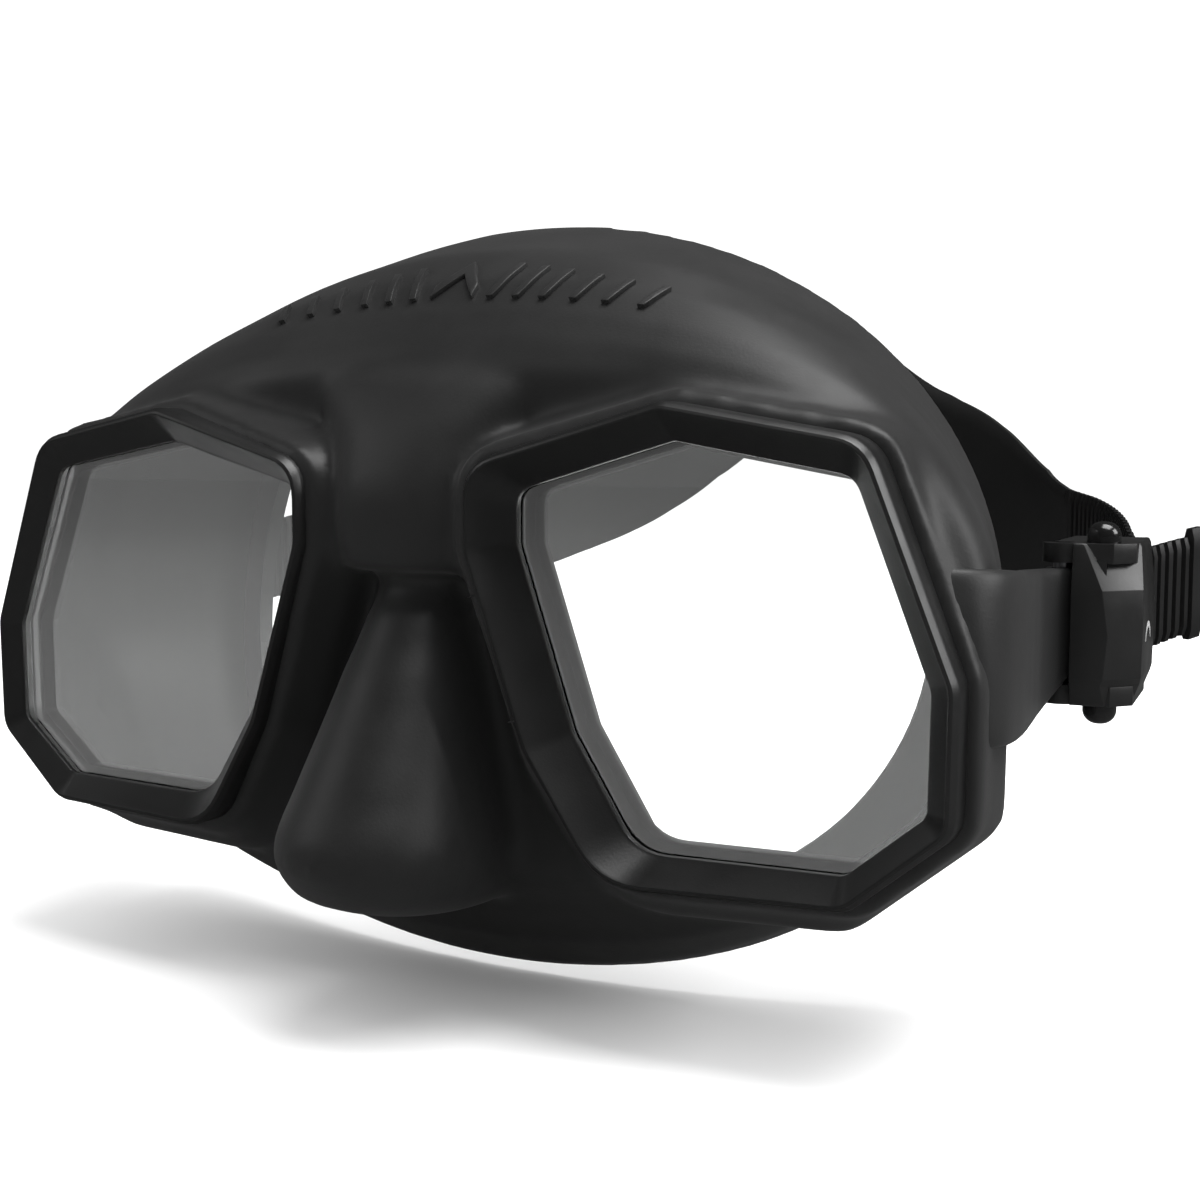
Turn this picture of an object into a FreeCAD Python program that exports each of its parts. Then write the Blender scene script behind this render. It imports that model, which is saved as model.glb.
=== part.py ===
import FreeCAD, Part

# Low-volume diving mask with two windows, a silicone skirt and nose pocket, and a rear strap
# that runs through a swivelling push-button buckle on each side.
#
# Row frame: +Z up, the mask looks along -Y, +X is the wearer's left.  The origin is the centre
# of the face seal.  Pieces are drawn in the window frame, whose origin lies on the front face
# of the glass between the two windows, and are then placed sealDepth further forward.

import math
import os

import Sketcher
from FreeCAD import Placement, Rotation, Vector

SIZES = [
    # windows, as seen from the front
    ("windowWidth", 47.7, "glass opening, side to side"),
    ("windowHeight", 44.5, "glass opening, top to bottom"),
    ("windowCentreX", 39.35, "from the middle of the mask to a window's centre"),
    ("windowCentreZ", 0.25, "window centre above the origin"),
    ("sealDepth", 32.0, "from the front of the glass back to the centre of the face seal"),
    # glass and the rings that hold it
    ("lensThickness", 4.0, "tempered glass"),
    ("lensSeat", 1.2, "how far the glass reaches behind the bezel lip"),
    ("rimInner", 3.5, "bezel bevel, nose side"),
    ("rimTop", 3.3, "bezel bevel, brow side"),
    ("rimOuter", 2.4, "bezel bevel, temple side"),
    ("rimBottom", 2.7, "bezel bevel, cheek side"),
    ("bezelWall", 0.8, "bezel land outside its ridge"),
    ("bezelInnerRise", 5.8, "ridge in front of the glass at the nose"),
    ("bezelOuterRise", 2.2, "ridge in front of the glass at the temple"),
    ("clampThickness", 1.6, "clamp ring behind the skirt's flange"),
    ("clampLap", 1.8, "clamp ring width around the opening"),
    # silicone skirt
    ("skirtWall", 2.0, "moulded wall"),
    ("flangeLip", 0.6, "flange reaches inside the glass opening by this"),
    ("collarWidth", 1.3, "collar around each bezel"),
    ("collarLap", 1.8, "collar stands forward over the bezel's wall"),
    ("frontHalfWidth", 69.0, "skirt outline at the flange"),
    ("frontTop", 36.0, ""),
    ("frontBottom", 31.0, ""),
    ("browPower", 2.5, "roundness of its upper half, 2 being an ellipse"),
    ("cheekPower", 4.0, "roundness of its lower half"),
    ("middleDepth", 18.0, "second outline, behind the glass"),
    ("middleInset", 4.0, "its half width is smaller by this"),
    ("middleTop", 46.0, ""),
    ("middleBottom", 43.5, ""),
    ("rearDepth", 60.0, "third outline, behind the face"),
    ("rearInset", 14.0, "its half width is smaller by this"),
    ("rearTop", 50.5, ""),
    ("rearBottom", 49.0, ""),
    ("faceRadius", 118.0, "face, as a cylinder that trims the seal"),
    ("faceTop", 33.0, "seal behind the glass at the brow"),
    ("faceTilt", 6.5, "degrees; the cheeks lie further forward than the brow"),
    ("sealLipWidth", 8.0, "seal lip turned in from the skirt's edge"),
    ("sealLipThickness", 1.5, ""),
    # nose pocket
    ("noseTopZ", 8.0, ""),
    ("noseTipZ", -23.0, "height of the foremost point"),
    ("noseBottomZ", -31.0, ""),
    ("noseTipReach", 18.5, "in front of the glass"),
    ("noseTipHalfWidth", 12.0, ""),
    ("noseTopHalfWidth", 5.5, ""),
    # strap ears on the skirt
    ("hingeInset", 0.7, "ear pin, in from the skirt's half width"),
    ("hingeY", 30.0, "ear pin, behind the glass"),
    ("buckleZ", 2.3, "middle of the buckle's height"),
    ("buckleYaw", 6.0, "degrees; the buckle follows the head inwards"),
    ("earBarrel", 2.0, "radius of the ear's eye"),
    ("earHalfHeight", 6.2, "at the eye"),
    ("earThickness", 3.0, "arm of the ear"),
    ("earSeam", 0.05, "parting line between the ear and the skirt"),
    ("earRootDepth", 6.0, "front edge of the arm, behind the front of the glass"),
    ("earDrop", 5.0, "the arm's root hangs lower than the eye by this"),
    ("earPinRadius", 1.1, ""),
    ("pinFit", 0.05, "radial running clearance on every pin"),
    # buckle
    ("plateInner", 6.8, "half the space between the side plates"),
    ("plateThickness", 2.2, ""),
    ("plateFront", -2.4, "front edge, from the ear pin"),
    ("plateRear", 13.0, "rear edge, from the ear pin"),
    ("plateOuter", 7.8, "outer edge, from the ear pin"),
    ("hookRadius", 2.3, "clip around the ear pin"),
    ("hookMouth", 1.7, "mouth of the clip"),
    ("coverFront", -3.5, "front face of the cover"),
    ("coverOuter", 8.6, "outer face of the cover"),
    ("coverWall", 0.7, ""),
    ("coverBevel", 3.3, "corner between the cover's front and outer faces"),
    ("upperFacet", 5.0, "how far the cover's upper facet slopes down"),
    ("lowerFacet", 2.6, "how far its lower facet slopes up"),
    ("movingGap", 0.3, "between pieces that move past each other"),
    # roller and strap
    ("rollerX", 3.4, "roller axis, from the ear pin"),
    ("rollerY", 6.3, ""),
    ("rollerRadius", 1.2, ""),
    ("rollerPinRadius", 0.5, ""),
    ("strapThickness", 1.3, ""),
    ("strapWidth", 12.6, "ribbed ends"),
    ("strapGap", 0.15, "between the strap and the roller"),
    ("tailLength", 14.5, "loose end, behind the buckle's plates"),
    ("tailFlare", 7.0, "the loose end stands outwards by this"),
    ("tailStop", 1.6, "taller stop at the loose end"),
    ("loopCentreY", 50.0, "middle of the strap's loop, behind the glass"),
    ("loopOutset", 1.0, "half width of the loop beyond the skirt's"),
    ("loopHalfDepth", 65.0, ""),
    # push buttons and catch
    ("buttonX", 4.2, "button axis, from the ear pin"),
    ("buttonY", 0.6, ""),
    ("buttonRadius", 1.85, ""),
    ("buttonFlange", 2.05, "half length of the tongue under the side plate"),
    ("buttonReach", 2.3, "stands out of the side plate"),
    ("buttonTongue", 1.4, "thickness of the tongue"),
    ("springPost", 1.5, "post that the spring sits on"),
    ("buttonTravel", 1.5, ""),
    ("buttonFit", 0.1, "radial clearance in the side plate"),
    ("springRadius", 1.1, ""),
    ("springWire", 0.35, ""),
    ("pawlX", 6.95, "catch lever, middle of its thickness, from the ear pin"),
    ("pawlPivotY", 10.8, ""),
    ("pawlThickness", 0.5, ""),
    ("pawlPinRadius", 0.4, ""),
    ("pawlHalfHeight", 3.0, ""),
]

# Window outline, clockwise from the upper corner at the nose, in shares of width and height.
WINDOW_SHAPE = [
    (-0.5, 0.376), (-0.5, 0.242), (-0.353, -0.219), (-0.186, -0.5), (0.318, -0.489),
    (0.496, -0.331), (0.5, -0.05), (0.328, 0.421), (-0.091, 0.5),
]
# The bezel's bevel along each edge of that outline, starting from the first corner.
WINDOW_EDGES = [
    "rimInner", "rimInner", "rimInner", "rimBottom", "rimOuter",
    "rimOuter", "rimOuter", "rimTop", "rimTop",
]

doc = FreeCAD.newDocument("DivingMask")
sheet = doc.addObject("Spreadsheet::Sheet", "Dims")
for row, (alias, value, note) in enumerate(SIZES, start=1):
    sheet.set(f"A{row}", alias)
    sheet.set(f"B{row}", str(value))
    sheet.setAlias(f"B{row}", alias)
    sheet.set(f"C{row}", note)
doc.recompute()

PIECES = []


def size(alias):
    """A driving dimension as a number."""
    return float(sheet.get(alias))


def bind(obj, **expressions):
    """Tie properties to the sheet: two underscores stand for a dot in the property's path."""
    for path, expression in expressions.items():
        obj.setExpression(path.replace("__", "."), expression)
    return obj


def keep(obj, label):
    """Mark an object as a piece of the mask."""
    obj.Label = label
    PIECES.append(obj)
    return obj


def keep_pair(obj, name):
    """Keep a piece on the wearer's left and its mirror image on the right."""
    keep(obj, name + "_left")
    mirror = doc.addObject("Part::Mirroring", name + "Mirror")
    mirror.Source = obj
    mirror.Normal = Vector(1, 0, 0)
    keep(mirror, name + "_right")
    return obj


def hinge_x():
    """Ear pin, from the middle of the mask."""
    return size("frontHalfWidth") - size("hingeInset")


def in_mask(obj):
    """Place a piece that is drawn in the window frame."""
    obj.Placement = Placement(Vector(0, -size("sealDepth"), 0), Rotation())
    return bind(obj, Placement__Base__y="-Dims.sealDepth")


def in_buckle(obj, x="0", y="0"):
    """Place a piece in the buckle: x outwards from the ear pin, y to the rear, z up."""
    obj.Placement = Placement(Vector(), Rotation(Vector(0, 0, 1), size("buckleYaw")))
    cos, sin = "cos(Dims.buckleYaw * 1 deg)", "sin(Dims.buckleYaw * 1 deg)"
    return bind(
        obj,
        Placement__Base__x=f"Dims.frontHalfWidth - Dims.hingeInset + ({x}) * {cos} - ({y}) * {sin}",
        Placement__Base__y=f"Dims.hingeY - Dims.sealDepth + ({x}) * {sin} + ({y}) * {cos}",
        Placement__Base__z="Dims.buckleZ",
        Placement__Rotation__Angle="Dims.buckleYaw * 1 deg",
    )


def buckle_point(x, y):
    """A point of the buckle's plan, in the window frame."""
    yaw = math.radians(size("buckleYaw"))
    return (
        hinge_x() + x * math.cos(yaw) - y * math.sin(yaw),
        size("hingeY") + x * math.sin(yaw) + y * math.cos(yaw),
    )


# ---------------------------------------------------------------- outlines

def window_outline():
    """Corners of the glass opening on the wearer's left, as (x, z)."""
    centre_x, centre_z = size("windowCentreX"), size("windowCentreZ")
    width, height = size("windowWidth"), size("windowHeight")
    return [(centre_x + u * width, centre_z + v * height) for u, v in WINDOW_SHAPE]


def offset_outline(points, distances):
    """Move each edge of a closed outline outwards by its own distance."""
    count = len(points)
    area = sum(
        points[i][0] * points[(i + 1) % count][1] - points[(i + 1) % count][0] * points[i][1]
        for i in range(count)
    )
    side = 1.0 if area > 0 else -1.0
    lines = []
    for i, distance in enumerate(distances):
        (x0, z0), (x1, z1) = points[i], points[(i + 1) % count]
        length = math.hypot(x1 - x0, z1 - z0)
        normal = (side * (z1 - z0) / length, -side * (x1 - x0) / length)
        lines.append((normal, normal[0] * x0 + normal[1] * z0 + distance))
    moved = []
    for i in range(count):
        (ax, az), a = lines[i - 1]
        (bx, bz), b = lines[i]
        det = ax * bz - az * bx
        moved.append(((a * bz - b * az) / det, (ax * b - bx * a) / det))
    return moved


def grow(points, distance):
    """Offset every edge by the same distance."""
    return offset_outline(points, [distance] * len(points))


def ridge_outline():
    """The bezel's front ridge."""
    return offset_outline(window_outline(), [size(edge) for edge in WINDOW_EDGES])


def bezel_outline():
    """The bezel's outer wall."""
    return grow(ridge_outline(), size("bezelWall"))


def oval(half_width, top, bottom, top_power, bottom_power, inset=0.0):
    """A closed smooth outline from two half superellipses that meet at the widest level."""
    steps = 24
    points = []
    for i in range(steps):
        angle = 2 * math.pi * i / steps
        c, s = math.cos(angle), math.sin(angle)
        power = top_power if s >= 0 else bottom_power
        height = (top if s >= 0 else bottom) - inset
        x = math.copysign(abs(c) ** (2 / power), c) * (half_width - inset)
        z = math.copysign(abs(s) ** (2 / power), s) * height
        points.append((x, z))
    return points


def smooth_wire(points, y):
    """A closed spline through (x, z) points at one depth."""
    curve = Part.BSplineCurve()
    curve.interpolate([Vector(x, y, z) for x, z in points], PeriodicFlag=True)
    return Part.Wire([curve.toShape()])


def straight_wire(vectors):
    """A closed wire of straight edges."""
    return Part.makePolygon(vectors + vectors[:1])


# ---------------------------------------------------------------- document helpers

def prism(name, points, along, length, start=0.0):
    """A straight prism; along is x, y or z, and length is an expression."""
    place = {
        "x": lambda u, v: Vector(start, u, v),
        "y": lambda u, v: Vector(u, start, v),
        "z": lambda u, v: Vector(u, v, start),
    }[along]
    outline = doc.addObject("Part::Polygon", name + "Outline")
    outline.Nodes = [place(u, v) for u, v in points]
    outline.Close = True
    solid = doc.addObject("Part::Extrusion", name)
    solid.Base = outline
    solid.DirMode = "Custom"
    solid.Dir = {"x": Vector(1, 0, 0), "y": Vector(0, 1, 0), "z": Vector(0, 0, 1)}[along]
    solid.Solid = True
    return bind(solid, LengthFwd=length)


def cylinder(name, radius, height, x="0", y="0", z="0"):
    """An upright cylinder whose sizes and place are expressions."""
    obj = doc.addObject("Part::Cylinder", name)
    return bind(obj, Radius=radius, Height=height, Placement__Base__x=x,
                Placement__Base__y=y, Placement__Base__z=z)


def box(name, length, width, height, x="0", y="0", z="0"):
    """A box whose sizes and lowest corner are expressions."""
    obj = doc.addObject("Part::Box", name)
    return bind(obj, Length=length, Width=width, Height=height, Placement__Base__x=x,
                Placement__Base__y=y, Placement__Base__z=z)


def solid_of(name, shape):
    """Hold a shape made with Part's own functions."""
    obj = doc.addObject("Part::Feature", name)
    obj.Shape = shape
    return obj


def fuse(name, *shapes):
    """Join shapes into one solid."""
    obj = doc.addObject("Part::MultiFuse", name)
    obj.Shapes = list(shapes)
    return obj


def cut(name, base, *tools):
    """Remove one or more tools from a base."""
    for number, tool in enumerate(tools):
        result = doc.addObject("Part::Cut", name + ("" if number == 0 else f"Step{number}"))
        result.Base = base
        result.Tool = tool
        base = result
    return base


def new_body(name):
    """An empty PartDesign body."""
    return doc.addObject("PartDesign::Body", name)


def sketch_on(body, name, role, offset="0"):
    """A sketch on one of the body's own origin planes, moved along its normal."""
    plane = [item for item in body.Origin.OriginFeatures if item.Role == role][0]
    sketch = body.newObject("Sketcher::SketchObject", name)
    sketch.AttachmentSupport = [(plane, "")]
    sketch.MapMode = "FlatFace"
    return bind(sketch, AttachmentOffset__Base__z=offset)


def draw_outline(sketch, points):
    """Closed straight outline with its corners joined by constraints."""
    count = len(points)
    for i, (u, v) in enumerate(points):
        next_u, next_v = points[(i + 1) % count]
        sketch.addGeometry(Part.LineSegment(Vector(u, v, 0), Vector(next_u, next_v, 0)))
    for i in range(count):
        sketch.addConstraint(Sketcher.Constraint("Coincident", i, 2, (i + 1) % count, 1))


def draw_circle(sketch, radius):
    """Circle about the sketch's origin, its radius tied to the sheet."""
    sketch.addGeometry(Part.Circle(Vector(), Vector(0, 0, 1), size(radius)))
    sketch.addConstraint(Sketcher.Constraint("Coincident", 0, 3, -1, 1))
    index = sketch.addConstraint(Sketcher.Constraint("Radius", 0, size(radius)))
    sketch.setExpression(f"Constraints[{index}]", f"Dims.{radius}")


def pad(body, name, sketch, length, reversed_side=False, midplane=False):
    """Pad a sketch by an expression."""
    feature = body.newObject("PartDesign::Pad", name)
    feature.Profile = sketch
    feature.Reversed = reversed_side
    feature.Midplane = midplane
    return bind(feature, Length=length)


def pocket(body, name, sketch, length, reversed_side=False):
    """Pocket a sketch by an expression."""
    feature = body.newObject("PartDesign::Pocket", name)
    feature.Profile = sketch
    feature.Reversed = reversed_side
    return bind(feature, Length=length)


# ---------------------------------------------------------------- windows

def make_lens():
    """Flat glass that sits in the bezel, front face on the window frame's origin plane."""
    body = new_body("Lens")
    sketch = sketch_on(body, "LensOutline", "XZ_Plane")
    draw_outline(sketch, grow(window_outline(), size("lensSeat")))
    pad(body, "LensPad", sketch, "Dims.lensThickness", reversed_side=True)
    return in_mask(body)


def make_clamp_ring():
    """Ring that presses the skirt's flange against the back of the glass."""
    body = new_body("ClampRing")
    back = "-(Dims.lensThickness + Dims.skirtWall)"
    outer = sketch_on(body, "ClampOutline", "XZ_Plane", back)
    draw_outline(outer, grow(window_outline(), size("clampLap")))
    pad(body, "ClampPad", outer, "Dims.clampThickness", reversed_side=True)
    inner = sketch_on(body, "ClampOpening", "XZ_Plane", back)
    draw_outline(inner, window_outline())
    pocket(body, "ClampPocket", inner, "Dims.clampThickness", reversed_side=False)
    return in_mask(body)


def bezel_rise(x):
    """How far the ridge plane stands in front of the glass at x."""
    xs = [px for px, _ in ridge_outline()]
    share = (x - min(xs)) / (max(xs) - min(xs))
    return size("bezelInnerRise") + share * (size("bezelOuterRise") - size("bezelInnerRise"))


def make_bezel():
    """Faceted rim: a tilted front ridge, a bevel down to the glass, and a seat behind its lip."""
    margin = 3.0
    front = size("bezelInnerRise") + margin
    blank = prism("BezelBlank", bezel_outline(), "y",
                  f"Dims.lensThickness + {front}", start=-front)
    xs = [px for px, _ in bezel_outline()]
    low, high = min(xs) - margin, max(xs) + margin
    block = Part.Face(straight_wire([
        Vector(low, -bezel_rise(low), -size("windowHeight")),
        Vector(high, -bezel_rise(high), -size("windowHeight")),
        Vector(high, -front - margin, -size("windowHeight")),
        Vector(low, -front - margin, -size("windowHeight")),
    ])).extrude(Vector(0, 0, 2 * size("windowHeight")))
    front_block = solid_of("BezelFrontBlock", block)
    beyond = 0.5
    mouth = []
    for (wx, wz), (rx, rz) in zip(window_outline(), ridge_outline()):
        stretch = 1 + beyond / bezel_rise(wx)
        x, z = wx + stretch * (rx - wx), wz + stretch * (rz - wz)
        mouth.append(Vector(x, -bezel_rise(x) - beyond, z))
    throat = [Vector(x, 0, z) for x, z in window_outline()]
    bevel = Part.makeLoft([straight_wire(throat), straight_wire(mouth)], True, True)
    bevel_tool = solid_of("BezelBevel", bevel)
    seat = prism("BezelSeat", grow(window_outline(), size("lensSeat")), "y",
                 "Dims.lensThickness + 1")
    return in_mask(cut("Bezel", blank, front_block, bevel_tool, seat))


# ---------------------------------------------------------------- skirt

def skirt_loft(inset, front_y):
    """The skirt's body from the flange back past the face, drawn in by an inset."""
    half = size("frontHalfWidth")
    front = oval(half, size("frontTop"), size("frontBottom"),
                 size("browPower"), size("cheekPower"), inset)
    middle = oval(half - size("middleInset"), size("middleTop"), size("middleBottom"), 2.1, 2.0, inset)
    rear = oval(half - size("rearInset"), size("rearTop"), size("rearBottom"), 2.0, 2.0, inset)
    wires = [
        smooth_wire(front, front_y),
        smooth_wire(middle, size("middleDepth")),
        smooth_wire(rear, size("rearDepth")),
    ]
    return Part.makeLoft(wires, True, False)


def face_cylinder(extra=0.0):
    """The wearer's face; extra moves its surface forward."""
    tilt = math.radians(size("faceTilt"))
    axis = Vector(0, math.sin(tilt), math.cos(tilt))
    middle = Vector(0, size("faceTop") + size("faceRadius"), size("rearTop"))
    length = 300.0
    return Part.makeCylinder(size("faceRadius") + extra, length, middle - axis * length / 2, axis)


def nose_wire(z, tip_y, half_width, back_y):
    """One level of the nose pocket: straight sides and a round front."""
    shoulder = tip_y + half_width
    left_back, right_back = Vector(-half_width, back_y, z), Vector(half_width, back_y, z)
    left, right = Vector(-half_width, shoulder, z), Vector(half_width, shoulder, z)
    return Part.Wire([
        Part.makeLine(right_back, right),
        Part.Arc(right, Vector(0, tip_y, z), left).toShape(),
        Part.makeLine(left, left_back),
        Part.makeLine(left_back, right_back),
    ])


def nose_loft(inset, back_y):
    """The nose pocket's wedge; an inset makes its inside."""
    top_z, tip_z, bottom_z = size("noseTopZ"), size("noseTipZ"), size("noseBottomZ")
    reach, tip_width, top_width = (
        size("noseTipReach"), size("noseTipHalfWidth"), size("noseTopHalfWidth"))
    levels = [
        (top_z - inset, 1.0, top_width),
        (top_z - 0.45 * (top_z - tip_z), 0.55 * reach, 0.5 * (top_width + tip_width)),
        (tip_z, reach, tip_width),
        (bottom_z + inset, 0.6 * reach, 0.75 * tip_width),
    ]
    wires = [
        nose_wire(z, -forward + inset, half_width - inset, back_y)
        for z, forward, half_width in levels
    ]
    return Part.makeLoft(wires, True, True)


def mirrored(shape):
    """A shape's mirror image across the middle of the mask."""
    return shape.mirror(Vector(), Vector(1, 0, 0))


def outline_prism(points, y0, y1):
    """A plain solid between two depths."""
    face = Part.Face(straight_wire([Vector(x, y0, z) for x, z in points]))
    return face.extrude(Vector(0, y1 - y0, 0))


def make_skirt():
    """Hollow shell from the window flange to the face, with collars and a turned-in seal lip."""
    flange, wall = size("lensThickness"), size("skirtWall")
    outer = skirt_loft(0.0, flange)
    shell = outer.cut(skirt_loft(wall, flange + wall)).cut(face_cylinder())
    lip = outer.cut(skirt_loft(wall + size("sealLipWidth"), flange + wall))
    lip = lip.common(face_cylinder(size("sealLipThickness"))).cut(face_cylinder())
    skirt = shell.fuse(lip)
    opening = outline_prism(grow(window_outline(), -size("flangeLip")), flange - 1, flange + wall + 1)
    collar = outline_prism(grow(bezel_outline(), size("collarWidth")),
                           flange - size("collarLap"), flange)
    collar = collar.cut(outline_prism(bezel_outline(), flange - size("collarLap") - 1, flange + 1))
    skirt = skirt.fuse([collar, mirrored(collar)]).removeSplitter()
    skirt = skirt.cut([opening, mirrored(opening), nose_loft(0.0, flange + wall + 1)])
    return in_mask(solid_of("Skirt", skirt))


def make_nose_pocket():
    """Thin-walled pocket that the diver pinches; it opens into the skirt."""
    back = size("lensThickness") + size("skirtWall")
    pocket_shape = nose_loft(0.0, back).cut(nose_loft(size("skirtWall"), back + 1))
    return in_mask(solid_of("NosePocket", pocket_shape))


def make_ear():
    """Silicone arm from the skirt's side to an eye around the ear pin."""
    thickness = size("earThickness")
    eye_x, eye_y = hinge_x(), size("hingeY")
    root_y = size("earRootDepth")
    root_x = size("frontHalfWidth") - 2 * size("earThickness") - 1.0
    drop = size("earDrop")
    plan = [
        (root_x, root_y + 1.0), (size("frontHalfWidth") - 0.8, root_y), (eye_x - 1.2, eye_y - 10.0),
        (eye_x - 0.6, eye_y - 3.0), (eye_x, eye_y), (eye_x - thickness + 1.0, eye_y),
        (eye_x - thickness - 1.6, eye_y - 8.0), (root_x - 2.0, eye_y - 12.0),
    ]
    half = size("earHalfHeight")
    middle = size("buckleZ")
    arm = Part.Face(straight_wire([Vector(x, y, middle - 3 * half) for x, y in plan]))
    arm = arm.extrude(Vector(0, 0, 4 * half))
    side = [
        (root_y - 1, middle + half), (eye_y + 1, middle + half), (eye_y + 1, middle - half),
        (eye_y - 4, middle - half), (eye_y - 11, middle - half - 0.85 * drop),
        (root_y - 1, middle - half - drop),
    ]
    reach = size("frontHalfWidth") + 20
    band = Part.Face(straight_wire([Vector(0, y, z) for y, z in side])).extrude(Vector(reach, 0, 0))
    eye = Part.makeCylinder(size("earBarrel"), 2 * half, Vector(eye_x, eye_y, middle - half))
    hole = Part.makeCylinder(size("earPinRadius"), 4 * half, Vector(eye_x, eye_y, middle - 2 * half))
    ear = arm.common(band).fuse(eye).removeSplitter().cut(hole)
    skin = skirt_loft(-size("earSeam"), size("lensThickness"))
    # The same ear is mirrored, so it also clears the other side of the skirt.
    ear = ear.cut(skin).cut(skin.mirror(Vector(), Vector(1, 0, 0)))
    return in_mask(solid_of("Ear", max(ear.Solids, key=lambda solid: solid.Volume)))


# ---------------------------------------------------------------- buckle, drawn about the ear pin

def make_pin(name, radius, length):
    """Steel pin with eased ends, centred on its own middle."""
    body = new_body(name)
    sketch = sketch_on(body, name + "Sketch", "XY_Plane")
    draw_circle(sketch, radius)
    pin = pad(body, name + "Pad", sketch, length, midplane=True)
    doc.recompute()
    chamfer = body.newObject("PartDesign::Chamfer", name + "Chamfer")
    chamfer.Base = (pin, [f"Edge{i}" for i, edge in enumerate(pin.Shape.Edges, start=1) if edge.isClosed()])
    bind(chamfer, Size=f"Dims.{radius} / 4")
    return body


def deck_plan():
    """Outline of a side plate, set back from the cover's front corner."""
    front, rear, outer = size("plateFront"), size("plateRear"), size("plateOuter")
    corner = size("coverBevel") - (size("plateFront") - size("coverFront"))
    return [
        (0.0, front), (outer - corner, front), (outer, front + corner), (outer, rear),
        (-0.4, rear), (-1.0, 4.5), (0.0, 1.0),
    ]


def side_plate(name, start):
    """One side plate of the buckle: strap deck and a clip for the ear pin."""
    deck = prism(name + "Deck", deck_plan(), "z", "Dims.plateThickness", start=start)
    hook = cylinder(name + "Hook", "Dims.hookRadius", "Dims.plateThickness", z=str(start))
    plate = fuse(name, deck, hook)
    tall, low = "2 * Dims.plateThickness", str(start - 1)
    bore = cylinder(name + "Bore", "Dims.earPinRadius + Dims.pinFit", tall, z=low)
    mouth = box(name + "Mouth", "Dims.hookRadius + 1", "Dims.hookMouth", tall,
                x="-(Dims.hookRadius + 1)", y="-Dims.hookMouth / 2", z=low)
    button = cylinder(name + "Button", "Dims.buttonRadius + Dims.buttonFit", tall,
                      x="Dims.buttonX", y="Dims.buttonY", z=low)
    roller = cylinder(name + "RollerPin", "Dims.rollerPinRadius", tall,
                      x="Dims.rollerX", y="Dims.rollerY", z=low)
    pawl = cylinder(name + "PawlPin", "Dims.pawlPinRadius", tall,
                    x="Dims.pawlX", y="Dims.pawlPivotY", z=low)
    return cut(name + "Drilled", plate, bore, mouth, button, roller, pawl)


def make_buckle_base():
    """Two side plates joined by a thin bar in front of the buttons."""
    upper = side_plate("UpperPlate", size("plateInner"))
    lower = side_plate("LowerPlate", -size("plateInner") - size("plateThickness"))
    bar = box("BaseBar", "Dims.buttonX - 1.6", "0.6", "2 * Dims.plateInner + 1",
              x="Dims.buttonX / 2 + 0.4", y="Dims.plateFront", z="-Dims.plateInner - 0.5")
    return in_buckle(fuse("BuckleBase", upper, lower, bar))


def make_buckle_cover():
    """Faceted shell over the buckle's front and outer side."""
    front, outer, wall = size("coverFront"), size("coverOuter"), size("coverWall")
    rear, plate_front = size("plateRear"), size("plateFront")
    inner_edge, bevel = 1.6, size("coverBevel")
    half = size("plateInner") + size("plateThickness")
    height = "2 * (Dims.plateInner + Dims.plateThickness)"
    blank = prism("CoverBlank", [
        (inner_edge, front), (outer - bevel, front), (outer, front + bevel), (outer, rear),
        (inner_edge, rear),
    ], "z", height, start=-half)
    plan = deck_plan()
    inside = prism("CoverInside", plan[:3] + [(plan[3][0], rear + 1), (0.0, rear + 1)],
                   "z", height + " + 2", start=-half - 1)
    room = prism("CoverRoom", [
        (0.0, front + wall), (outer - bevel - 0.3, front + wall), (outer - wall, front + bevel + 0.3),
        (outer - wall, rear + 1), (0.0, rear + 1),
    ], "z", "2 * Dims.plateInner", start=-size("plateInner"))
    facets = []
    for name, sign, slope in (("Upper", 1, size("upperFacet")), ("Lower", -1, size("lowerFacet"))):
        facets.append(prism(name + "Facet", [
            (front - 0.1, sign * (half - slope)), (front - 0.1, sign * (half + 1)),
            (plate_front, sign * (half + 1)), (plate_front, sign * half),
        ], "x", "Dims.coverOuter + 4", start=-2.0))
    return in_buckle(cut("BuckleCover", blank, inside, room, *facets))


def make_roller():
    """Fluted roller that the strap turns round."""
    body = new_body("Roller")
    outline = sketch_on(body, "RollerOutline", "XY_Plane")
    draw_circle(outline, "rollerRadius")
    pad(body, "RollerPad", outline, "2 * (Dims.plateInner - Dims.movingGap)", midplane=True)
    half = "Dims.plateInner - Dims.movingGap"
    bore = sketch_on(body, "RollerBore", "XY_Plane", half)
    bore.addGeometry(Part.Circle(Vector(), Vector(0, 0, 1), size("rollerPinRadius")))
    index = bore.addConstraint(Sketcher.Constraint("Radius", 0, size("rollerPinRadius")))
    bore.setExpression(f"Constraints[{index}]", "Dims.rollerPinRadius + Dims.pinFit")
    pocket(body, "RollerHole", bore, "2 * Dims.plateInner")
    flute = sketch_on(body, "RollerFlute", "XY_Plane", half)
    flute.addGeometry(Part.Circle(Vector(size("rollerRadius"), 0, 0), Vector(0, 0, 1), 0.2))
    groove = pocket(body, "RollerGroove", flute, "2 * Dims.plateInner")
    doc.recompute()
    pattern = body.newObject("PartDesign::PolarPattern", "RollerFlutes")
    pattern.Originals = [groove]
    axis = [item for item in body.Origin.OriginFeatures if item.Role == "Z_Axis"][0]
    pattern.Axis = (axis, [""])
    pattern.Angle = 360
    pattern.Occurrences = 8
    body.Tip = pattern
    return in_buckle(body, "Dims.rollerX", "Dims.rollerY")


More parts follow.
